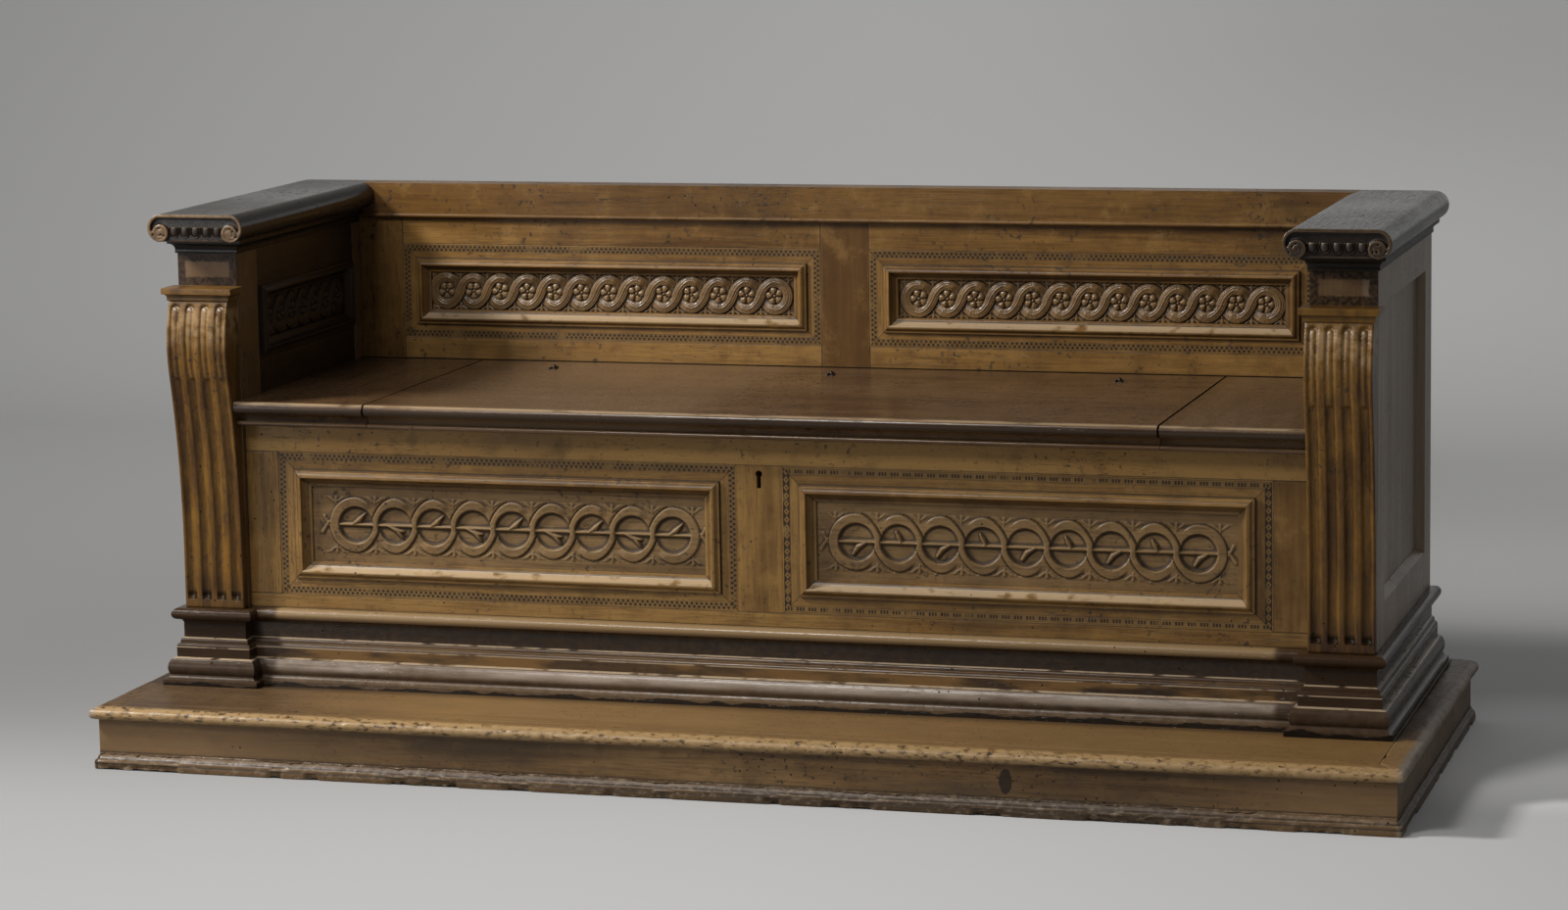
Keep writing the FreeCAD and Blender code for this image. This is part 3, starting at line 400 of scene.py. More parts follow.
def platform_marks(colour, place):
    """Golden where feet have polished it, dark at the left end, and painted shade against the plinth. The
    foot's fine dark lines are painted shade. The skirt has one black knot."""
    x, y, z = place.axes()
    top = z.between(0.1, 0.103)
    ends = (0 - x).between(0.45, 0.95).most(x.between(0.68, 1.0))
    left = ends * x.between(0.4, -0.4)
    nose = z.between(0.08, 0.083) * (1 - y.between(-0.415, -0.4))
    rag = place.stretch(65, 90, 150).noise(1, 5, 0.7)
    skirt = (1 - z.between(0.078, 0.082)) * (y < -0.405)
    stain = place.stretch(2.2, 1, 22).noise(1, 5, 0.6).between(0.4, 0.62)
    foot = 1 - z.between(0.026, 0.034)
    aside, above = x - 0.462, z - 0.055
    knot = aside * aside * 4 + above * above + (place.noise(60, 3) - 0.5) * 0.0006
    return colour.layers(
        ((200, 115, 40), top * (1 - left) * 0.5),
        # dark at the left end, and painted shade where the top meets the plinth
        ((30, 17, 9), top * (left * 0.5 + y.between(-0.24, -0.2) * 0.6)),
        ((270, 175, 80), nose * rag.between(0.36, 0.52) * 0.75),
        ((20, 13, 8), nose * rag.between(0.43, 0.35) * 0.7),
        ((40, 26, 15), skirt * stain * 0.65),
        ((170, 100, 45), skirt * ends * 0.6),
        ((200, 165, 130), abs(x).between(1.064, 1.07) * 0.55),
        # painted shade in the foot's fine lines, where its beads would cast it
        ((14, 10, 7), foot * lines(z, 0.0012, 0.0105, 0.0185, 0.029) * 0.8),
        ((36, 22, 12), foot * 0.4),
        ((240, 180, 110), foot * rag.between(0.52, 0.64) * 0.3),
        ((8, 6, 5), skirt * (knot < 0.0004) * 0.8))


# %% Mix the finishes
GOLD = ((58, 27, 7), (146, 78, 21), (225, 128, 39), (340, 220, 100))
RECIPES = {
    "golden_walnut": (GOLD, dict(gloss=0.33, rub=0.15, joint=0.55, shine=0.25)),
    "shaded_walnut": (((7, 3, 1.2), (17, 8, 3), (27, 13.5, 5), (55, 34, 17)), dict(gloss=0.34, rub=0.4)),
    "carved_walnut": (((62, 34, 12.5), (126, 73, 28), (168, 103, 43), (220, 145, 65)),
        dict(gloss=0.42, worms=0.1, rub=0.25, dirt=0.8, shine=0.24)),
    "rosette_walnut": (((55, 29, 10), (116, 65, 24), (160, 96, 38), (240, 165, 85)),
        dict(gloss=0.27, worms=0.05, rub=0.35, dirt=0.9, shine=0.36)),
    "console_walnut": (((42, 17, 3), (106, 50, 7), (165, 83, 16), (200, 110, 40)),
        dict(gloss=0.3, rub=0.12, dirt=1.0, shine=0.32, relief=0.0009,
        marks=console_stains_and_highlight, gaps=flute_foot_shade)),
    "seat_walnut": (((32, 15, 6), (68, 36, 16), (108, 60, 28), (220, 140, 70)),
        dict(gloss=0.23, rub=0.2, joint=0.75, relief=0.0006, marks=seat_marks, gaps=seat_gaps)),
    "dark_walnut": (((8, 6, 4), (16, 11, 8), (28, 20, 13), (100, 60, 28)),
        dict(gloss=0.25, worms=0.1, rub=0.4, shine=0.35, relief=0.0003,
        marks=capital_wear_and_light, gaps=crown_darkening)),
    "egg_walnut": (((12, 8, 5), (22, 14, 9), (35, 22, 14), (170, 115, 65)),
        dict(gloss=0.45, worms=0.0, shine=0.3, relief=0.0005)),
    "side_walnut": (((50, 26, 10), (100, 55, 22), (140, 80, 35), (200, 140, 85)),
        dict(gloss=0.33, shine=0.4, relief=0.0004, marks=side_marks, gaps=block_gaps)),
    "plinth_walnut": (((24, 12, 5), (55, 30, 12), (95, 55, 24), (300, 200, 110)),
        dict(gloss=0.26, rub=0.45, shine=0.35, nick=0.7, marks=plinth_marks)),
    "pedestal_walnut": (((16, 8, 4), (36, 19, 9), (60, 34, 16), (300, 200, 110)),
        dict(gloss=0.24, rub=0.45, shine=0.14, nick=0.7, marks=plinth_marks)),
    "platform_walnut": (((50, 26, 10), (110, 62, 24), (170, 100, 40), (260, 170, 85)),
        dict(gloss=0.4, worms=0.6, rub=0.25, shine=0.25, marks=platform_marks)),
    "plain_wood": (((120, 75, 38), (200, 135, 75), (260, 180, 105), (360, 270, 170)), dict(gloss=0.6)),
}
FINISHES = {name: walnut(name, colours, **settings) for name, (colours, settings) in RECIPES.items()}
print("finishes:", ", ".join(FINISHES))

# %% [markdown]
# ## Inlaid bands
# A band of small dark and pale bits of wood runs round each frame of the front and the back, near
# its outer edge. It is flush with the wood, so it is colour and not shape: the distance from the
# frame's edge says where the band is, and the distance along it makes the pattern.
# The same marks paint shade into each moulding's groove, quirks and cove, and a highlight on its lower
# strip.

# %% Inlay for one frame
def inlay_band(node, pattern, flat, moulding):
    """The frame's flat and moulding have these widths, in millimetres."""
    low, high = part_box(node)
    middle, half = (low + high) / 2, (high - low) / 2

    def at(share):
        return flat + moulding * share

    def marks(colour, place):
        x, _, z = place.axes()
        from_side = (half.x - abs(x - middle.x)) * 1000
        from_top = (half.z - abs(z - middle.z)) * 1000
        upright = from_side < from_top
        inward = from_side.least(from_top)
        along = (z * upright + x * (1 - upright)) * 1000
        band = (inward > 2.0) * (inward < 13.4)
        worn = place.noise(30, 3).between(0.28, 0.46)
        dark = pattern(inward, along, upright) * worn
        rule = lines(inward, 0.5, 2.2, 13.2)
        colour = colour.layers(
            ((88, 56, 22), band * 0.45),
            ((16, 9, 5), (dark * band).most(rule * worn * 0.5) * 0.92))
        # painted shade in the groove beside the flat, in the moulding's quirks and, lighter, in its cove;
        # the mitre line is a dark joint
        groove_shade_and_mitre = (abs(inward - flat) < 0.9).most(abs(from_side - from_top) < 0.6)
        hollow = inward.between(at(0.55), at(0.7)) * (inward < at(0.88))
        quirk_shade = (abs(inward - at(0.26)) < 0.7).most(abs(inward - at(0.8)) < 0.8)
        colour = colour.mix(GRIME_AND_SHADE, (groove_shade_and_mitre * 0.75).most(quirk_shade * worn * 0.6).most(hollow * 0.35))
        # painted highlight on the inner half of the lower moulding
        ledge_highlight = inward.between(at(0.36), at(0.46)) * (inward < at(0.76))
        return colour.mix((400, 300, 190), ledge_highlight * (1 - upright) * (z < middle.z) * worn * 0.55)

    return marks


def dots(inward, along, upright):
    """Two rows of small lozenges, the second half a step along."""
    first = abs((along % 8.4) - 4.2) + abs(inward - 5.2)
    second = abs(((along + 4.2) % 8.4) - 4.2) + abs(inward - 10.2)
    return first.least(second) < 3.1


def lozenges(inward, along, upright):
    """A chain of lozenges up the sides, and dashes along the top and bottom."""
    chain = abs((along % 13) - 6.5) / 6.5 + abs(inward - 7.7) / 5
    ring = (chain > 0.95) + (chain < 0.3)
    dash = ((along % 20) < 13) * (abs(inward - 7.7) < 3) * ((along % 5) < 3.3)
    return ring * upright + dash * (1 - upright)


INLAID = {"front_left_frame": (dots, 28, 28), "front_right_frame": (lozenges, 28, 28),
          "back_left_frame": (dots, 25, 25), "back_right_frame": (dots, 25, 25)}
for node, band in INLAID.items():
    FINISHES["inlaid_" + node] = walnut("inlaid_" + node, GOLD, rub=0.35, joint=0.3, shine=0.27,
                                        marks=inlay_band(node, *band))
print("inlaid frames:", len(INLAID))

# %% [markdown]
# ## Iron
# The hinges are bent wire and the lock is forged plate: dark, uneven, a little rust in patches.

# %% The iron finish
def forged_iron():
    material, start = finish_tree("iron")
    place = start.add("TexCoord", output="Object")
    rust = place.noise(160, 4, 0.6).between(0.5, 0.68)
    colour = rust.paint((45, 42, 40), (60, 30, 16))
    bump = start.add("Bump", None, {"Strength": 1.0, "Distance": 0.0004, "Height": place.noise(420, 3)},
                     output="Normal")
    close_tree(start, {"Base Color": colour, "Metallic": 1 - rust * 0.8, "Roughness": 0.42 + rust * 0.3,
                       "Normal": bump})
    return material


FINISHES["iron"] = forged_iron()
print("iron ready")

# %% [markdown]
# ## Working on one piece at a time
# Operators act on whatever is selected, so small helpers do what a hand does before each step:
# pick one piece, enter edit mode, apply a modifier. The others read and write a mesh as arrays.

# %% Pick a piece, apply a modifier
def let_go():
    bpy.ops.object.select_all(action="DESELECT")


def edit_mode(on):
    bpy.ops.object.mode_set(mode="EDIT" if on else "OBJECT")


def pick(piece):
    let_go()
    piece.select_set(True)
    bpy.context.view_layer.objects.active = piece


def modify(piece, kind, **settings):
    pick(piece)
    modifier = piece.modifiers.new(kind.lower(), kind)
    for key, value in settings.items():
        setattr(modifier, key, value)
    bpy.ops.object.modifier_apply(modifier=modifier.name)


def fill_attribute(piece, name, kind, values):
    data = piece.data.attributes.new(name, kind, "POINT").data
    key = "vector" if kind == "FLOAT_VECTOR" else "value"
    data.foreach_set(key, np.ascontiguousarray(values, np.float32).ravel())


def points_of(mesh, field="co"):
    values = np.empty(len(mesh.vertices) * 3, np.float32)
    mesh.vertices.foreach_get(field, values)
    return values.reshape(-1, 3)


def put_points(piece, points):
    piece.data.vertices.foreach_set("co", np.ascontiguousarray(points, np.float32).ravel())
    piece.data.update()


def edges_of(mesh):
    edges = np.empty(len(mesh.edges) * 2, np.int32)
    mesh.edges.foreach_get("vertices", edges)
    return edges.reshape(-1, 2)


print("helpers ready")

# %% [markdown]
# ## Grain that follows each board
# Grain runs along a board's length, whichever way the board lies. A frame of four strips is one
# mesh here, so the loose parts are found first, and each part gets its own long axis, its own
# piece of tree and its own tone.

# %% Lay the grain
def loose_parts(mesh):
    label = np.arange(len(mesh.vertices))
    edges = edges_of(mesh)
    while True:
        lowest = np.minimum(label[edges[:, 0]], label[edges[:, 1]])
        new = label.copy()
        np.minimum.at(new, edges[:, 0], lowest)
        np.minimum.at(new, edges[:, 1], lowest)
        new = new[new]
        if (new == label).all():
            return label
        label = new


def lay_grain(piece, seed, tone=None, along=None):
    mesh = piece.data
    points, label = points_of(mesh), loose_parts(mesh)
    grain, tones = np.zeros_like(points), np.zeros(len(points), np.float32)
    chance = np.random.default_rng(seed)
    for part in np.unique(label):
        mine = label == part
        size = np.ptp(points[mine], axis=0)
        order = np.argsort(-size)
        if along is not None:
            order = [along] + [axis for axis in order if axis != along]
        grain[mine] = points[mine][:, order] + chance.uniform(-9, 9, 3)
        tones[mine] = chance.uniform(-0.6, 0.6) if tone is None else tone
    fill_attribute(piece, "grain", "FLOAT_VECTOR", grain)
    fill_attribute(piece, "tone", "FLOAT", tones)


print("grain ready")

# %% [markdown]
# ## Soft edges
# No edge on old furniture is sharp. A copy of each CAD node is merged, its flat triangles are
# dissolved into whole faces, and its edges are bevelled. The rows of vertices in the middle of a
# bevel are ridges or hollows, which is what the `edge` attribute needs to know.

# %% Copy a node and soften it
def solids_of(mesh):
    """Which solid of the node each vertex belongs to. The solids come one after another, so one of
    them ends where all its faces' sides have met a neighbour."""
    same = np.unique(np.round(points_of(mesh), 6), axis=0, return_inverse=True)[1].ravel()
    number, waiting, count = np.zeros(len(mesh.vertices), int), set(), 0
    for face in mesh.polygons:
        corners = [int(same[corner]) for corner in face.vertices]
        number[list(face.vertices)] = count
        for side in zip(corners, corners[1:] + corners[:1]):
            if side[::-1] in waiting:
                waiting.remove(side[::-1])
            else:
                waiting.add(side)
        count += not waiting
    return number


def merged_copy(node):
    """A copy whose solids are merged one by one: meanwhile they stand APART, one over another, so
    that strips which touch at a mitre stay separate boards."""
    piece = bpy.data.objects.new("worn_" + node, frame["nodes"][node].data.copy())
    bpy.context.scene.collection.objects.link(piece)
    piece.data.materials.clear()
    points = points_of(piece.data)
    points[:, 2] += APART * solids_of(piece.data)
    put_points(piece, points)
    pick(piece)
    bpy.ops.mesh.customdata_custom_splitnormals_clear()
    edit_mode(True)
    bpy.ops.mesh.select_all(action="SELECT")
    bpy.ops.mesh.remove_doubles(threshold=0.00001)
    bpy.ops.mesh.dissolve_limited(angle_limit=math.radians(0.6))
    edit_mode(False)
    return piece


def gather(piece):
    points = points_of(piece.data)
    points[:, 2] -= APART * np.floor((points[:, 2] + 0.5) / APART)
    put_points(piece, points)


def mark_edges(piece, wide):
    """Bevel faces carry material 1. Their vertices lie on a ridge or in a hollow; where no row of
    faces runs beside the bevel, only those in its middle count."""
    mesh = piece.data
    flat = np.full(len(mesh.vertices), wide)
    for face in mesh.polygons:
        if (face.material_index == 1) == wide:
            flat[list(face.vertices)] = not wide
    points, edges = points_of(mesh), edges_of(mesh)
    total, count = np.zeros_like(points), np.zeros(len(points))
    for a, b in ((0, 1), (1, 0)):
        np.add.at(total, edges[:, a], points[edges[:, b]])
        np.add.at(count, edges[:, a], 1)
    lean = ((total / np.maximum(count, 1)[:, None] - points) * points_of(mesh, "normal")).sum(1)
    fill_attribute(piece, "edge", "FLOAT", np.where(flat, 0.0, np.where(lean < 0, 1.0, -1.0)))
    for face in mesh.polygons:
        face.material_index = 0


def soften(node, width):
    piece = merged_copy(node)
    gather(piece)
    finish = finish_of(node)
    piece.data.materials.append(finish)
    piece.data.materials.append(finish)
    plain = len(piece.data.polygons) <= 10 * len(np.unique(loose_parts(piece.data)))
    if plain:
        modify(piece, "BEVEL", width=BESIDE, segments=2, profile=1.0, limit_method="ANGLE",
               angle_limit=math.radians(50), use_clamp_overlap=True)
    modify(piece, "BEVEL", width=width, segments=2, limit_method="ANGLE",
           angle_limit=math.radians(34), use_clamp_overlap=True, material=1)
    mark_edges(piece, plain)
    piece.data.materials.pop(index=1)
    lay_grain(piece, seed_of[node], TONES_AND_PAINTED_LIGHT.get(node))
    pick(piece)
    bpy.ops.object.shade_smooth_by_angle(angle=math.radians(32))
    modify(piece, "WEIGHTED_NORMAL", weight=100, keep_sharp=True)
    settle(piece, node)


def finish_of(node):
    if node in INLAID:
        return FINISHES["inlaid_" + node]
    if node.endswith(("console", "necking")):
        return FINISHES["console_walnut"]
    if "_inner_" in node:
        return FINISHES["shaded_walnut"]
    if node.startswith(("pedestal", "plinth_side", "plinth_left", "plinth_right")):
        return FINISHES["pedestal_walnut"]
    return FINISHES[slot_of[node]]


def settle(piece, node):
    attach(piece, body_of[node])
    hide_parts(node)


APART, BESIDE, WORN, SEAT_WORN = 2.0, 0.004, 0.0009, 0.0019
# front_top_rail's tone lightens it as painted light against the nosing's shadow; the other tones are the
# boards' own
TONES_AND_PAINTED_LIGHT = {"front_top_rail": -2.0, "front_centre_stile": -0.5, "front_bottom_rail": 0.3,
         "front_right_stile": 1.1, "front_left_stile": 0.3, "back_top_rail": 1.1,
         "back_centre_stile": 1.5, "back_end_stiles": 1.0}
slot_of = {row["node"]: row["material_slot"] for row in frame["record"]["subparts"]}
body_of = {}
for body, members in frame["record"]["behaviour"]["bodies"].items():
    for node in members:
        body_of[node] = body
seed_of = {node: 40 + number for number, node in enumerate(sorted(frame["nodes"]))}
print("slots:", len(slot_of), "bodies:", sorted(set(body_of.values())))

# %% Soften every plain board and moulding
CARVED = [f"arm_{side}_{part}" for side in ("left", "right") for part in ("console", "top")]
CARVED += ["platform_foot", "platform_nosing"]
IRON = [node for node in frame["nodes"] if node.startswith(("hinge", "lock"))]
softened = 0
for node in sorted(frame["nodes"]):
    if node in CARVED or node in IRON:
        continue
    soften(node, SEAT_WORN if node.startswith("seat") else WORN)
    softened += 1
for node in IRON:
    frame["nodes"][node].data.materials.clear()
    frame["nodes"][node].data.materials.append(FINISHES["iron"])
print("softened", softened, "nodes")

# %% [markdown]
# ## Carved consoles and arm tops
# A chisel leaves no perfect surface. The consoles and the scrolled arm tops are remeshed into
# small even cells and smoothed a little, which rounds every arris as wear does. How far a vertex
# stands out from its neighbours gives its ridges and hollows.

# %% Remesh and smooth the carved nodes
def standing_out(piece, rounds, scale):
    """How far each vertex stands out of its smoothed neighbourhood, in units of scale."""
    mesh = piece.data
    points, edges = points_of(mesh).astype(float), edges_of(mesh)
    count = np.bincount(edges.ravel(), minlength=len(points))[:, None]
    soft = points.copy()
    for _ in range(rounds):
        total = np.zeros_like(soft)
        for axis in range(3):
            total[:, axis] = (np.bincount(edges[:, 0], soft[edges[:, 1], axis], len(points))
                              + np.bincount(edges[:, 1], soft[edges[:, 0], axis], len(points)))
        soft = total / np.maximum(count, 1)
    return np.clip(((points - soft) * points_of(mesh, "normal")).sum(1) / scale, -1, 1)


def carve_node(node, cell, keep, along, reach, scale, wear=None):
    piece = merged_copy(node)
    piece.data.materials.append(finish_of(node))
    modify(piece, "REMESH", mode="VOXEL", voxel_size=cell)
    gather(piece)
    modify(piece, "SMOOTH", factor=0.5, iterations=3)
    if wear:
        wear(piece)
    fill_attribute(piece, "edge", "FLOAT", standing_out(piece, reach, scale))
    if keep < 1:
        modify(piece, "DECIMATE", ratio=keep)
    put_points(piece, np.clip(points_of(piece.data), *cad_box))
    lay_grain(piece, seed_of[node], tone=0.0 if along is not None else None, along=along)
    pick(piece)
    bpy.ops.object.shade_smooth()
    settle(piece, node)
    piece.data.calc_loop_triangles()
    print(piece.name, len(piece.data.loop_triangles), "triangles")


for side in ("left", "right"):
    carve_node(f"arm_{side}_console", 0.0018, 1.0, 2, 3, 0.0015)
    carve_node(f"arm_{side}_top", 0.0013, 0.45, 1, 16, 0.0012)

# %% [markdown]
# ## Chipped platform edges
# Feet and knees have met the platform's nosing for centuries, and damp has eaten its foot. Both
# mouldings are remeshed like the carvings, then pieces are broken out of them where a noise is
# high, most of all along the bottom.

# %% Break the platform's edges
def lumps(points, size, seed):
    """Smooth random values from 0 to 1 in space, about size apart."""
    place = points / size
    corner = np.floor(place).astype(np.int64)
    share = place - corner
    share = share * share * (3 - 2 * share)
    total = np.zeros(len(points))
    for step in np.ndindex(2, 2, 2):
        at = corner + np.array(step)
        code = (at[:, 0] * 73856093 ^ at[:, 1] * 19349663 ^ at[:, 2] * 83492791
                ^ seed * 2654435761) & 0xFFFFFF
        code = (code * 1103515245 + 12345) & 0xFFFFFF
        code = (code ^ (code >> 11)) * 69069 & 0xFFFFFF
        weight = np.prod(np.where(np.array(step), share, 1 - share), axis=1)
        total += weight * (code / 0xFFFFFF)
    return total


def break_edges(piece, depth, size, bottom):
    points = points_of(piece.data).astype(float)
    coarse, fine = lumps(points, size, 3), lumps(points, 0.009, 4)
    tiny = lumps(points, 0.004, 5)
    bite = np.clip((coarse - 0.56) / 0.2, 0, 1) * (0.35 + 0.65 * fine)
    corner = np.clip((-0.9 - points[:, 0]) / 0.08, 0, 1) * np.clip((-0.36 - points[:, 1]) / 0.02, 0, 1)
    bite = np.maximum(bite, corner * fine * bottom)
    edge = np.clip(standing_out(piece, 10, 0.0014), 0, 1)
    low = np.clip((0.012 - points[:, 2]) / 0.008, 0, 1) if bottom else 0.0
    away = depth * bite * np.clip(edge + low, 0, 1) + 0.0003 * (tiny - 0.5) + 0.0006 * (fine - 0.5)
    points -= points_of(piece.data, "normal") * away[:, None]
    put_points(piece, points)


carve_node("platform_foot", 0.0016, 0.6, None, 8, 0.0012,
           lambda piece: break_edges(piece, 0.005, 0.03, True))
carve_node("platform_nosing", 0.0025, 1.0, None, 8, 0.0014,
           lambda piece: break_edges(piece, 0.002, 0.022, False))

# %% [markdown]
# ## Carving a panel
# The two front panels and the two back panels hold a guilloche: two strands that cross over and
# under each other and leave a row of round eyes. A carver works down from the face of the board,
# so the panel is made the same way: a fine grid stands for the face, and each of its vertices is
# set to the depth that the chisel left there. Depths here are in millimetres.

# %% Chisel cuts
def strand(pitch, radius, rising, lean):
    """One strand from a ring to the next, about the middle of the crossing."""
    turn = np.linspace(0, math.pi, 97)
    bow = (1 - np.sin(turn)) * np.sign(turn - math.pi / 2)
    x = pitch / 2 * ((1 - lean) * bow - lean * np.cos(turn))
    z = -radius * np.cos(turn)
    return x, (z if rising else -z)


def soft_step(value):
    value = np.clip(value, 0, 1)
    return value * value * (3 - 2 * value)


class Relief:
    def __init__(self, width, height, step, ground):
        self.u = np.linspace(-width / 2, width / 2, int(width / step) + 1)
        self.v = np.linspace(-height / 2, height / 2, int(height / step) + 1)
        self.depth = np.full((len(self.v), len(self.u)), float(ground))

    def window(self, low, high):
        columns = np.flatnonzero((self.u >= low) & (self.u <= high))
        columns = slice(columns[0], columns[-1] + 1)
        return columns, np.meshgrid(self.u[columns], self.v)

    def raise_to(self, columns, height):
        self.depth[:, columns] = np.maximum(self.depth[:, columns], height)

    def lower_to(self, columns, height):
        self.depth[:, columns] = np.minimum(self.depth[:, columns], height)

    def band(self, path, half, top, dip, lines, crown=0.0, moat=None):
        """A strand along a path. An under strand dips in the middle; an over strand has a moat."""
        x, z = path
        columns, (u, v) = self.window(x.min() - half - 3, x.max() + half + 3)
        gap = np.full(u.shape, 1e9)
        sunk = np.zeros(u.shape)
        for number in range(len(x)):
            away = np.hypot(u - x[number], v - z[number])
            nearer = away < gap
            gap = np.where(nearer, away, gap)
            sunk = np.where(nearer, abs(number - len(x) / 2 + 0.5), sunk)
        if moat is not None:
            trench = (gap > half) & (gap < half + 2.4) & (sunk < 42)
            self.lower_to(columns, np.where(trench, moat, np.inf))
        height = top - dip * soft_step(1 - (sunk - 15) / 20) - crown * (gap / half) ** 2
        for line in lines:
            height = height - 1.2 * np.exp(-((gap - line) / 0.8) ** 2)
        self.raise_to(columns, np.where(gap < half + 0.8, height * soft_step((half + 0.8 - gap) / 1.5), -9))

    def lobe(self, start, end, thin, thick, top, base=0.0):
        (x0, z0), (x1, z1) = start, end
        reach = max(thin, thick) + 1
        columns, (u, v) = self.window(min(x0, x1) - reach, max(x0, x1) + reach)
        length = math.hypot(x1 - x0, z1 - z0)
        share = np.clip(((u - x0) * (x1 - x0) + (v - z0) * (z1 - z0)) / length ** 2, 0, 1)
        gap = np.hypot(u - x0 - share * (x1 - x0), v - z0 - share * (z1 - z0))
        radius = thin + (thick - thin) * share
        inside = np.clip(1 - (gap / radius) ** 2, 0, 1)
        self.raise_to(columns, np.where(inside > 0, base + (top - base) * np.sqrt(inside), -9))

    def drill(self, centre, radius, floor):
        columns, (u, v) = self.window(centre - radius - 1, centre + radius + 1)
        wall = floor + 12 * soft_step((np.hypot(u - centre, v) - radius + 1) / 2)
        self.lower_to(columns, wall)

    def eye(self, centre, radius, floor):
        """A round hole down to the floor, with a sloping wall."""
        columns, (u, v) = self.window(centre - radius - 1, centre + radius + 1)
        gap = np.hypot(u - centre, v)
        wall = floor + 9 * soft_step((gap - radius + 1.2) / 2.4) + 0.9 * soft_step((gap - radius + 5) / 4)
        self.lower_to(columns, wall)

    def blurred(self, rounds):
        soft = self.depth.copy()
        for _ in range(rounds):
            wide = np.pad(soft, 1, mode="edge")
            soft = (wide[1:-1, :-2] + wide[1:-1, 2:] + wide[:-2, 1:-1] + wide[2:, 1:-1]) / 4
        return soft


print("chisels ready")

# %% Turn the depths into a carved board
def carved_board(name, relief, centre, across, out, node, finish="carved_walnut"):
    """across is the board's length seen from its face, out is where the face looks; up is +Z."""
    rows, columns = relief.depth.shape
    let_go()
    bpy.ops.mesh.primitive_grid_add(x_subdivisions=columns - 1, y_subdivisions=rows - 1, size=1)
    piece = bpy.context.active_object
    piece.name = piece.data.name = name
    u, v = np.meshgrid(relief.u, relief.v)
    waves = relief.blurred(1)
    points = (np.array(centre) + u[..., None] * np.array(across) / 1000
              + v[..., None] * np.array((0, 0, 1)) / 1000 + waves[..., None] * np.array(out) / 1000)
    put_points(piece, points.reshape(-1, 3))
    stands = np.clip((relief.depth - relief.blurred(14)) / 0.9, -1, 1)
    fill_attribute(piece, "edge", "FLOAT", stands)
    lay_grain(piece, seed_of[node], tone=0.0)
    piece.data.materials.append(FINISHES[finish])
    pick(piece)
    bpy.ops.object.shade_smooth()
    edit_mode(True)
    bpy.ops.mesh.select_mode(type="EDGE")
    bpy.ops.mesh.select_all(action="DESELECT")
    bpy.ops.mesh.select_non_manifold()
    bpy.ops.mesh.extrude_edges_move(TRANSFORM_OT_translate={"value": tuple(-0.004 * way for way in out)})
    bpy.ops.mesh.edge_face_add()
    bpy.ops.mesh.select_all(action="SELECT")
    bpy.ops.mesh.normals_make_consistent(inside=False)
    edit_mode(False)
    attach(piece, "bench")
    print(name, rows * columns, "points, relief", round(float(relief.depth.max()), 1), "mm")


def guilloche(relief, centres, radius, half, top, dip, lines, rising, lean, crown=0.0):
    pitch = centres[1] - centres[0]
    for first in centres[:-1]:
        for over in (False, True):
            x, z = strand(pitch, radius, rising == over, lean)
            relief.band((x + first + pitch / 2, z), half, top, 0 if over else dip, lines, crown,
                        top - dip - 1.2 if over else None)
    bow = np.linspace(math.pi / 2, 1.5 * math.pi, 97)
    for centre, way in ((centres[0], 1), (centres[-1], -1)):
        relief.band((centre + way * radius * np.cos(bow), radius * np.sin(bow)), half, top, 0, lines, crown)


print("boards ready")

# %% [markdown]
# ## The front panels
# Nine rings fill each front panel. A rod runs through them, a small thorn leaf grows from the rod
# in every ring, and little leaves fill the corners between rings. The right panel mirrors the
# left one's crossings and has thorns of another kind.

# %% Carve the front panels
def front_relief(centres, rising, thorns):
    relief = Relief(664 + 24, 130, 1.05, 4.0)
    pitch = centres[1] - centres[0]
    for gap in [centres[0] - pitch / 2] + [centre + pitch / 2 for centre in centres]:
        for way in (1, -1):
            relief.lobe((gap, way * 35), (gap, way * 46), 1.4, 3.2, 5.6, 3.6)
            for lean in (-1, 1):
                relief.lobe((gap + lean * 3, way * 39), (gap + lean * 12, way * 45.5), 1.8, 2.6, 5.4, 3.6)
                relief.lobe((gap + lean * 10, way * 46), (gap + lean * 19, way * 47), 1.8, 1.2, 5.0, 3.6)
    for end, way in ((centres[0], -1), (centres[-1], 1)):
        relief.lobe((end + way * 48, 4), (end + way * 60, -13), 2.0, 4.0, 6.4, 3.6)
        relief.lobe((end + way * 48, -2), (end + way * 56, 13), 2.0, 3.2, 5.8, 3.6)
    guilloche(relief, centres, 38.5, 7.8, 6.4, 3.4, (), rising, 0.3)
    for centre in centres:
        relief.eye(centre, 30.8, 0.2)
    for centre, thorn in zip(centres, thorns):
        relief.lobe((centre - 33, 0), (centre + 33, 0), 3.0, 3.0, 4.8, 0.2)
        for start, end, thin, thick in thorn:
            relief.lobe((centre + start[0], start[1]), (centre + end[0], end[1]), thin, thick, 5.8, 0.2)
    return relief


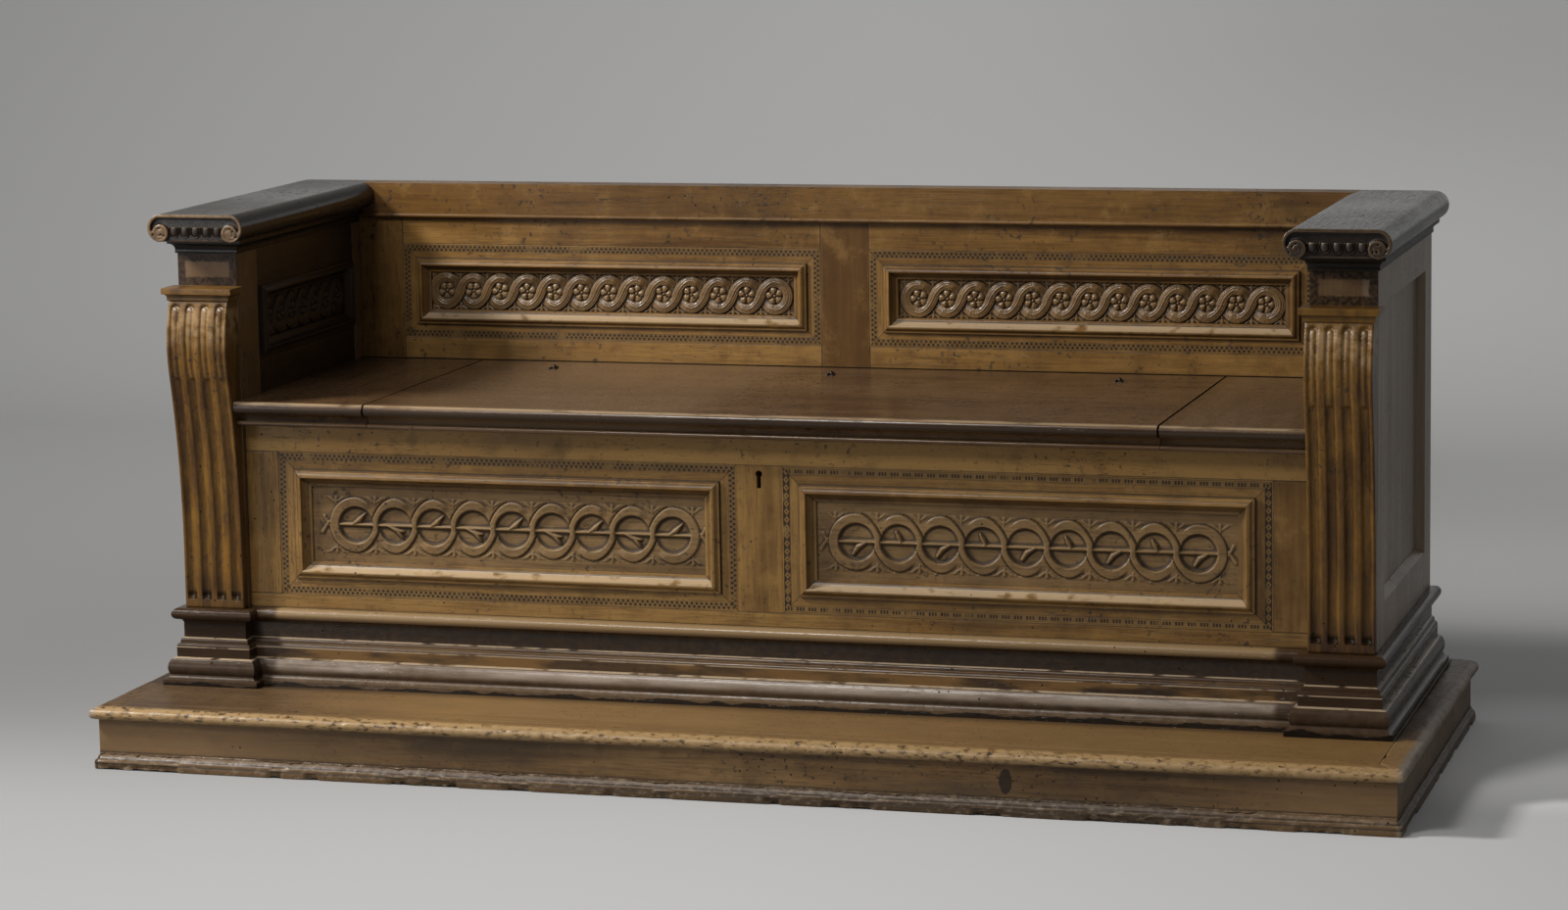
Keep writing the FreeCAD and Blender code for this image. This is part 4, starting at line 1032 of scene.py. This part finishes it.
THORN_UP = [((-6, 1), (5, 8), 2.2, 5.0), ((5, 8), (16, 19), 5.0, 1.0)]
THORN_DOWN = [((-12, -1), (4, -8), 2.0, 5.0), ((4, -8), (13, -21), 5.0, 1.2),
              ((6, -8), (16, -9), 4.0, 1.0)]
HOOK_DOWN = [((15, -1), (2, -8), 2.0, 4.8), ((2, -8), (-6, -20), 4.8, 2.6)]
BUD_UP = [((4, 2), (0, 10), 2.0, 4.0), ((0, 10), (-5, 19), 4.0, 1.2)]
FRONT_FACE, FRONT_RISE = -0.157, 0.3755
low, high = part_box("front_right_frame")
middle = (low.x + high.x) / 2 * 1000
left_rings = np.linspace(-703, -150, 9) + middle
right_rings = np.linspace(160, 716, 9) - middle
left_front = front_relief(left_rings, True, [THORN_UP if n % 2 == 0 else THORN_DOWN for n in range(9)])
right_front = front_relief(right_rings, False, [HOOK_DOWN if n % 2 == 0 else BUD_UP for n in range(9)])
for side, sign, relief in (("left", -1, left_front), ("right", 1, right_front)):
    carved_board(f"carving_front_{side}", relief, (sign * middle / 1000, FRONT_FACE, FRONT_RISE),
                 (1, 0, 0), (0, -1, 0), f"front_{side}_panel")

# %% [markdown]
# ## The back panels and the arms
# The rings on the back are smaller, fill the height of their panel, and hold rosettes of five
# broad petals round a knob. The same ornament runs along the inside of the arms.

# %% Carve the back and arm panels
def rosette_relief(width, centres, seed):
    relief = Relief(width, 68, 0.8, 1.2)
    chance = np.random.default_rng(seed)
    pitch = centres[1] - centres[0]
    for gap in [centres[0] - pitch / 2] + [centre + pitch / 2 for centre in centres]:
        for way in (1, -1):
            relief.lobe((gap, way * 21), (gap, way * 31), 1.2, 3.6, 3.6, 1.2)
            for lean in (-1, 1):
                relief.lobe((gap + lean * 2, way * 27), (gap + lean * 10, way * 32.5), 1.2, 2.2, 3.2, 1.2)
    guilloche(relief, centres, 24.0, 8.8, 7.4, 4.2, (2.6, 5.8), True, 0.35, 1.8)
    for centre in centres:
        relief.eye(centre, 16.0, 1.8)
        turn = chance.uniform(0, 1.2)
        for petal in range(5):
            angle = turn + petal * 2 * math.pi / 5
            tip = (centre + 9.6 * math.cos(angle), 9.6 * math.sin(angle))
            root = (centre + 6 * math.cos(angle), 6 * math.sin(angle))
            relief.lobe(root, tip, 3.4, 6.6, 6.6, 1.8)
        relief.drill(centre, 4.6, 1.4)
        relief.lobe((centre - 0.2, 0), (centre + 0.2, 0), 2.8, 2.8, 5.6, 1.0)
    return relief


BACK_FACE, BACK_RISE = 0.373, 0.7055
middle = (0.093 + 0.762) / 2 * 1000
back_left = rosette_relief(671, np.linspace(-734, -734 + 12 * 50.4, 13) + middle, 5)
back_right = rosette_relief(671, np.linspace(129, 129 + 12 * 50.0, 13) - middle, 6)
for side, sign, relief in (("left", -1, back_left), ("right", 1, back_right)):
    carved_board(f"carving_back_{side}", relief, (sign * middle / 1000, BACK_FACE, BACK_RISE),
                 (1, 0, 0), (0, -1, 0), f"back_{side}_panel", "rosette_walnut")
arm_rings = np.linspace(-150, 150, 7)
for side, sign, seed in (("left", -1, 7), ("right", 1, 8)):
    carved_board(f"carving_arm_{side}", rosette_relief(372, arm_rings, seed),
                 (sign * 0.906, 0.113, BACK_RISE), (0, -sign, 0), (-sign, 0, 0),
                 f"arm_{side}_inner_panel", "shaded_walnut")

# %% [markdown]
# ## Eggs between the scrolls
# Between the two scrolls of an arm's front runs a row of eggs, each in a U-shaped shell, as on an
# Ionic capital. The channel under the rim cuts their tops flat. One egg is shaped from a sphere
# and a ring, cut with the bisect tool, then copied along the row.

# %% Model one egg, copy it along both arms
def cut(place, way):
    """Cut the selected mesh at a plane and keep what lies behind it, closed by a face."""
    bpy.ops.mesh.select_all(action="SELECT")
    bpy.ops.mesh.bisect(plane_co=place, plane_no=way, use_fill=True, clear_outer=True)


def shape(size):
    """Stretch the active mesh. The channel then cuts its top flat, and the arm cuts off its back."""
    edit_mode(True)
    bpy.ops.mesh.select_all(action="SELECT")
    bpy.ops.transform.resize(value=size)
    cut((0, 0, EGG_TOP), (0, 0, 1))
    cut((0, EGG_BACK, 0), (0, 1, 0))
    edit_mode(False)


def model_egg():
    let_go()
    bpy.ops.mesh.primitive_uv_sphere_add(segments=24, ring_count=14, radius=0.0066)
    egg = bpy.context.active_object
    shape((1.0, 0.75, 1.5))
    let_go()
    bpy.ops.mesh.primitive_torus_add(major_segments=32, minor_segments=8, major_radius=0.0085,
                                     minor_radius=0.001, rotation=(math.pi / 2, 0, 0))
    bpy.ops.object.transform_apply(location=True, rotation=True, scale=True)
    shape((1, 3.0, 1.3))
    egg.select_set(True)
    bpy.context.view_layer.objects.active = egg
    bpy.ops.object.join()
    return egg


def row_of_eggs(egg, side, sign):
    row = []
    for number in range(5):
        one = egg.copy()
        one.data = egg.data.copy()
        bpy.context.scene.collection.objects.link(one)
        one.location = (sign * (0.9445 + 0.0192 * (number - 2)), -0.2262, 0.8695)
        row.append(one)
    let_go()
    for one in row:
        one.select_set(True)
    bpy.context.view_layer.objects.active = row[0]
    bpy.ops.object.join()
    piece = bpy.context.active_object
    piece.name = piece.data.name = f"eggs_{side}"
    bpy.ops.object.transform_apply(location=True, rotation=True, scale=True)
    points = points_of(piece.data)
    fill_attribute(piece, "edge", "FLOAT", np.clip((points[:, 2] - 0.8735) / 0.0015, 0, 1) * 0.9
                   - np.clip((-0.2275 - points[:, 1]) / -0.0015, 0, 1))
    lay_grain(piece, 700 + sign, tone=0.0, along=0)
    piece.data.materials.append(FINISHES["egg_walnut"])
    pick(piece)
    bpy.ops.object.shade_smooth_by_angle(angle=math.radians(40))
    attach(piece, "bench")
    print(piece.name, len(piece.data.polygons), "faces")


EGG_TOP, EGG_BACK = 0.0058, 0.001
egg = model_egg()
for side, sign in (("left", -1), ("right", 1)):
    row_of_eggs(egg, side, sign)
bpy.data.objects.remove(egg)

# %% [markdown]
# ## The studio
# The bench stands on a pale sweep: a floor that curves up into a grey wall, so no line shows
# where they meet. The paper is painted in greys that follow the photograph, lighter in the shadow
# on the right and darker at the upper right. Glossy rays meet a dimmer paper with one bright
# strip, which is what the old polish reflects. From behind, the paper is clear. Three lamps on
# the left and in front give the light.

# %% Floor and backdrop
let_go()
bpy.ops.mesh.primitive_plane_add(size=1, location=(0, 0, 0))
sweep = bpy.context.active_object
sweep.name = sweep.data.name = "sweep"
BEND = 2.2
curve = [(3.2 + BEND * math.sin(a), BEND - BEND * math.cos(a)) for a in np.linspace(0, math.pi / 2, 13)]
rows = [(-12, 0)] + curve + [(3.2 + BEND, 9)]
corners = [(x, y, z) for y, z in rows for x in (-16, 16)]
faces = [(2 * n, 2 * n + 1, 2 * n + 3, 2 * n + 2) for n in range(len(rows) - 1)]
sweep.data.clear_geometry()
sweep.data.from_pydata(corners, [], faces)
sweep.data.update()
pick(sweep)
bpy.ops.object.shade_smooth()
paper, start = finish_tree("studio_paper")
place = start.add("TexCoord", output="Object")
x, y, z = place.axes()
# The floor is painted darker towards the left: painted shade against the near left lamp.
near = x.between(-1.9, 1.5).paint(grey(175), grey(440))
far = x.between(-1.7, 1.3).paint(grey(130), grey(450))
shade = near.mix(far, y.between(-0.75, 0.1))
wall = x.between(-3, 1).paint(grey(500), grey(570)).mix(grey(470), z.between(0.5, 3.0))
wall = wall.mix(grey(360), z.between(0.2, 0.9) * x.between(-1.3, 0.5) * 0.55)
shade = shade.mix(wall, z.between(0.15, 2.0).most(y.between(0.0, 4.4) * (1 - x.between(-1.6, 0.4)))
                  .most(y.between(2.4, 4.4)))
lit = (x - 1.2) * (x - 1.2) * 8 + (y - 0.22) * (y - 0.22) * 4
shade = shade.mix(grey(740), lit.between(1.0, 0.1) * 0.75)
glossy = start.add("LightPath", output="Is Glossy Ray")
strip = z.between(0.6, 1.0) * (1 - z.between(1.8, 2.4))
shade = shade.mix(grey(100), glossy * (1 - strip) * 0.55).mix(grey(850), glossy * strip * 0.7)
behind = start.add("NewGeometry", output="Backfacing")
close_tree(start, {"Base Color": shade, "Roughness": 0.9}, behind, "BsdfTransparent", (1, 1, 1, 1))
sweep.data.materials.append(paper)
print("sweep:", len(sweep.data.polygons), "faces")

# %% Lights
def soft_light(name, place, target, size, power, colour=(1, 1, 1)):
    light = bpy.data.lights.new(name, "AREA")
    light.shape, light.size, light.energy, light.color = "SQUARE", size, power, colour
    lamp = bpy.data.objects.new(name, light)
    bpy.context.scene.collection.objects.link(lamp)
    lamp.location = place
    lamp.rotation_euler = (Vector(target) - Vector(place)).to_track_quat("-Z", "Y").to_euler()


soft_light("left_lamp", (-2.85, -1.3, 2.75), (0, 0, 0.45), 0.6, 205, (1.0, 0.985, 0.96))
soft_light("front_lamp", (-1.2, -3.2, 3.45), (0, 0, 0.4), 1.0, 90, (1.0, 0.99, 0.975))
soft_light("fill_lamp", (-3.4, -4.6, 1.1), (0, 0, 0.4), 1.2, 34)
world = bpy.data.worlds.new("studio")
bpy.context.scene.world = world
world.use_nodes = True
tree = world.node_tree
tree.nodes.clear()
room = Socket(tree)
seen = room.add("LightPath", output="Is Glossy Ray")
light = room.add("Background", None, {"Color": (1, 1, 1, 1), "Strength": 0.3})
dim = room.add("Background", None, {"Color": (1, 1, 1, 1), "Strength": 0.07})
both = room.add("MixShader", None, {0: seen, 1: light, 2: dim})
tree.links.new(both.out, tree.nodes.new("ShaderNodeOutputWorld").inputs["Surface"])
print("lights ready")

# %% [markdown]
# ## The camera
# The photograph was taken from a standing height, a little to the right, with a long lens.

# %% Camera
def turned(axis, angle):
    return Matrix.Rotation(angle, 3, axis)


turn = turned("Z", 0.2929) @ turned("X", -0.1434) @ turned("Y", 0.0176)
right, forward, up = (turn @ Vector(way) for way in ((1, 0, 0), (0, 1, 0), (0, 0, 1)))
camera = bpy.data.objects.new("camera", bpy.data.cameras.new("camera"))
bpy.context.scene.collection.objects.link(camera)
pose = Matrix((right, up, -forward)).transposed().to_4x4()
pose.translation = (1.9921, -6.7157, 1.5750)
camera.matrix_world = pose
camera.data.sensor_width, camera.data.lens = 36, 98.79
camera.data.shift_x, camera.data.shift_y = 0.01013, -0.02892
bpy.context.scene.camera = camera
bpy.context.scene.view_settings.view_transform = "Standard"
print("camera at", tuple(round(c, 3) for c in camera.matrix_world.translation))
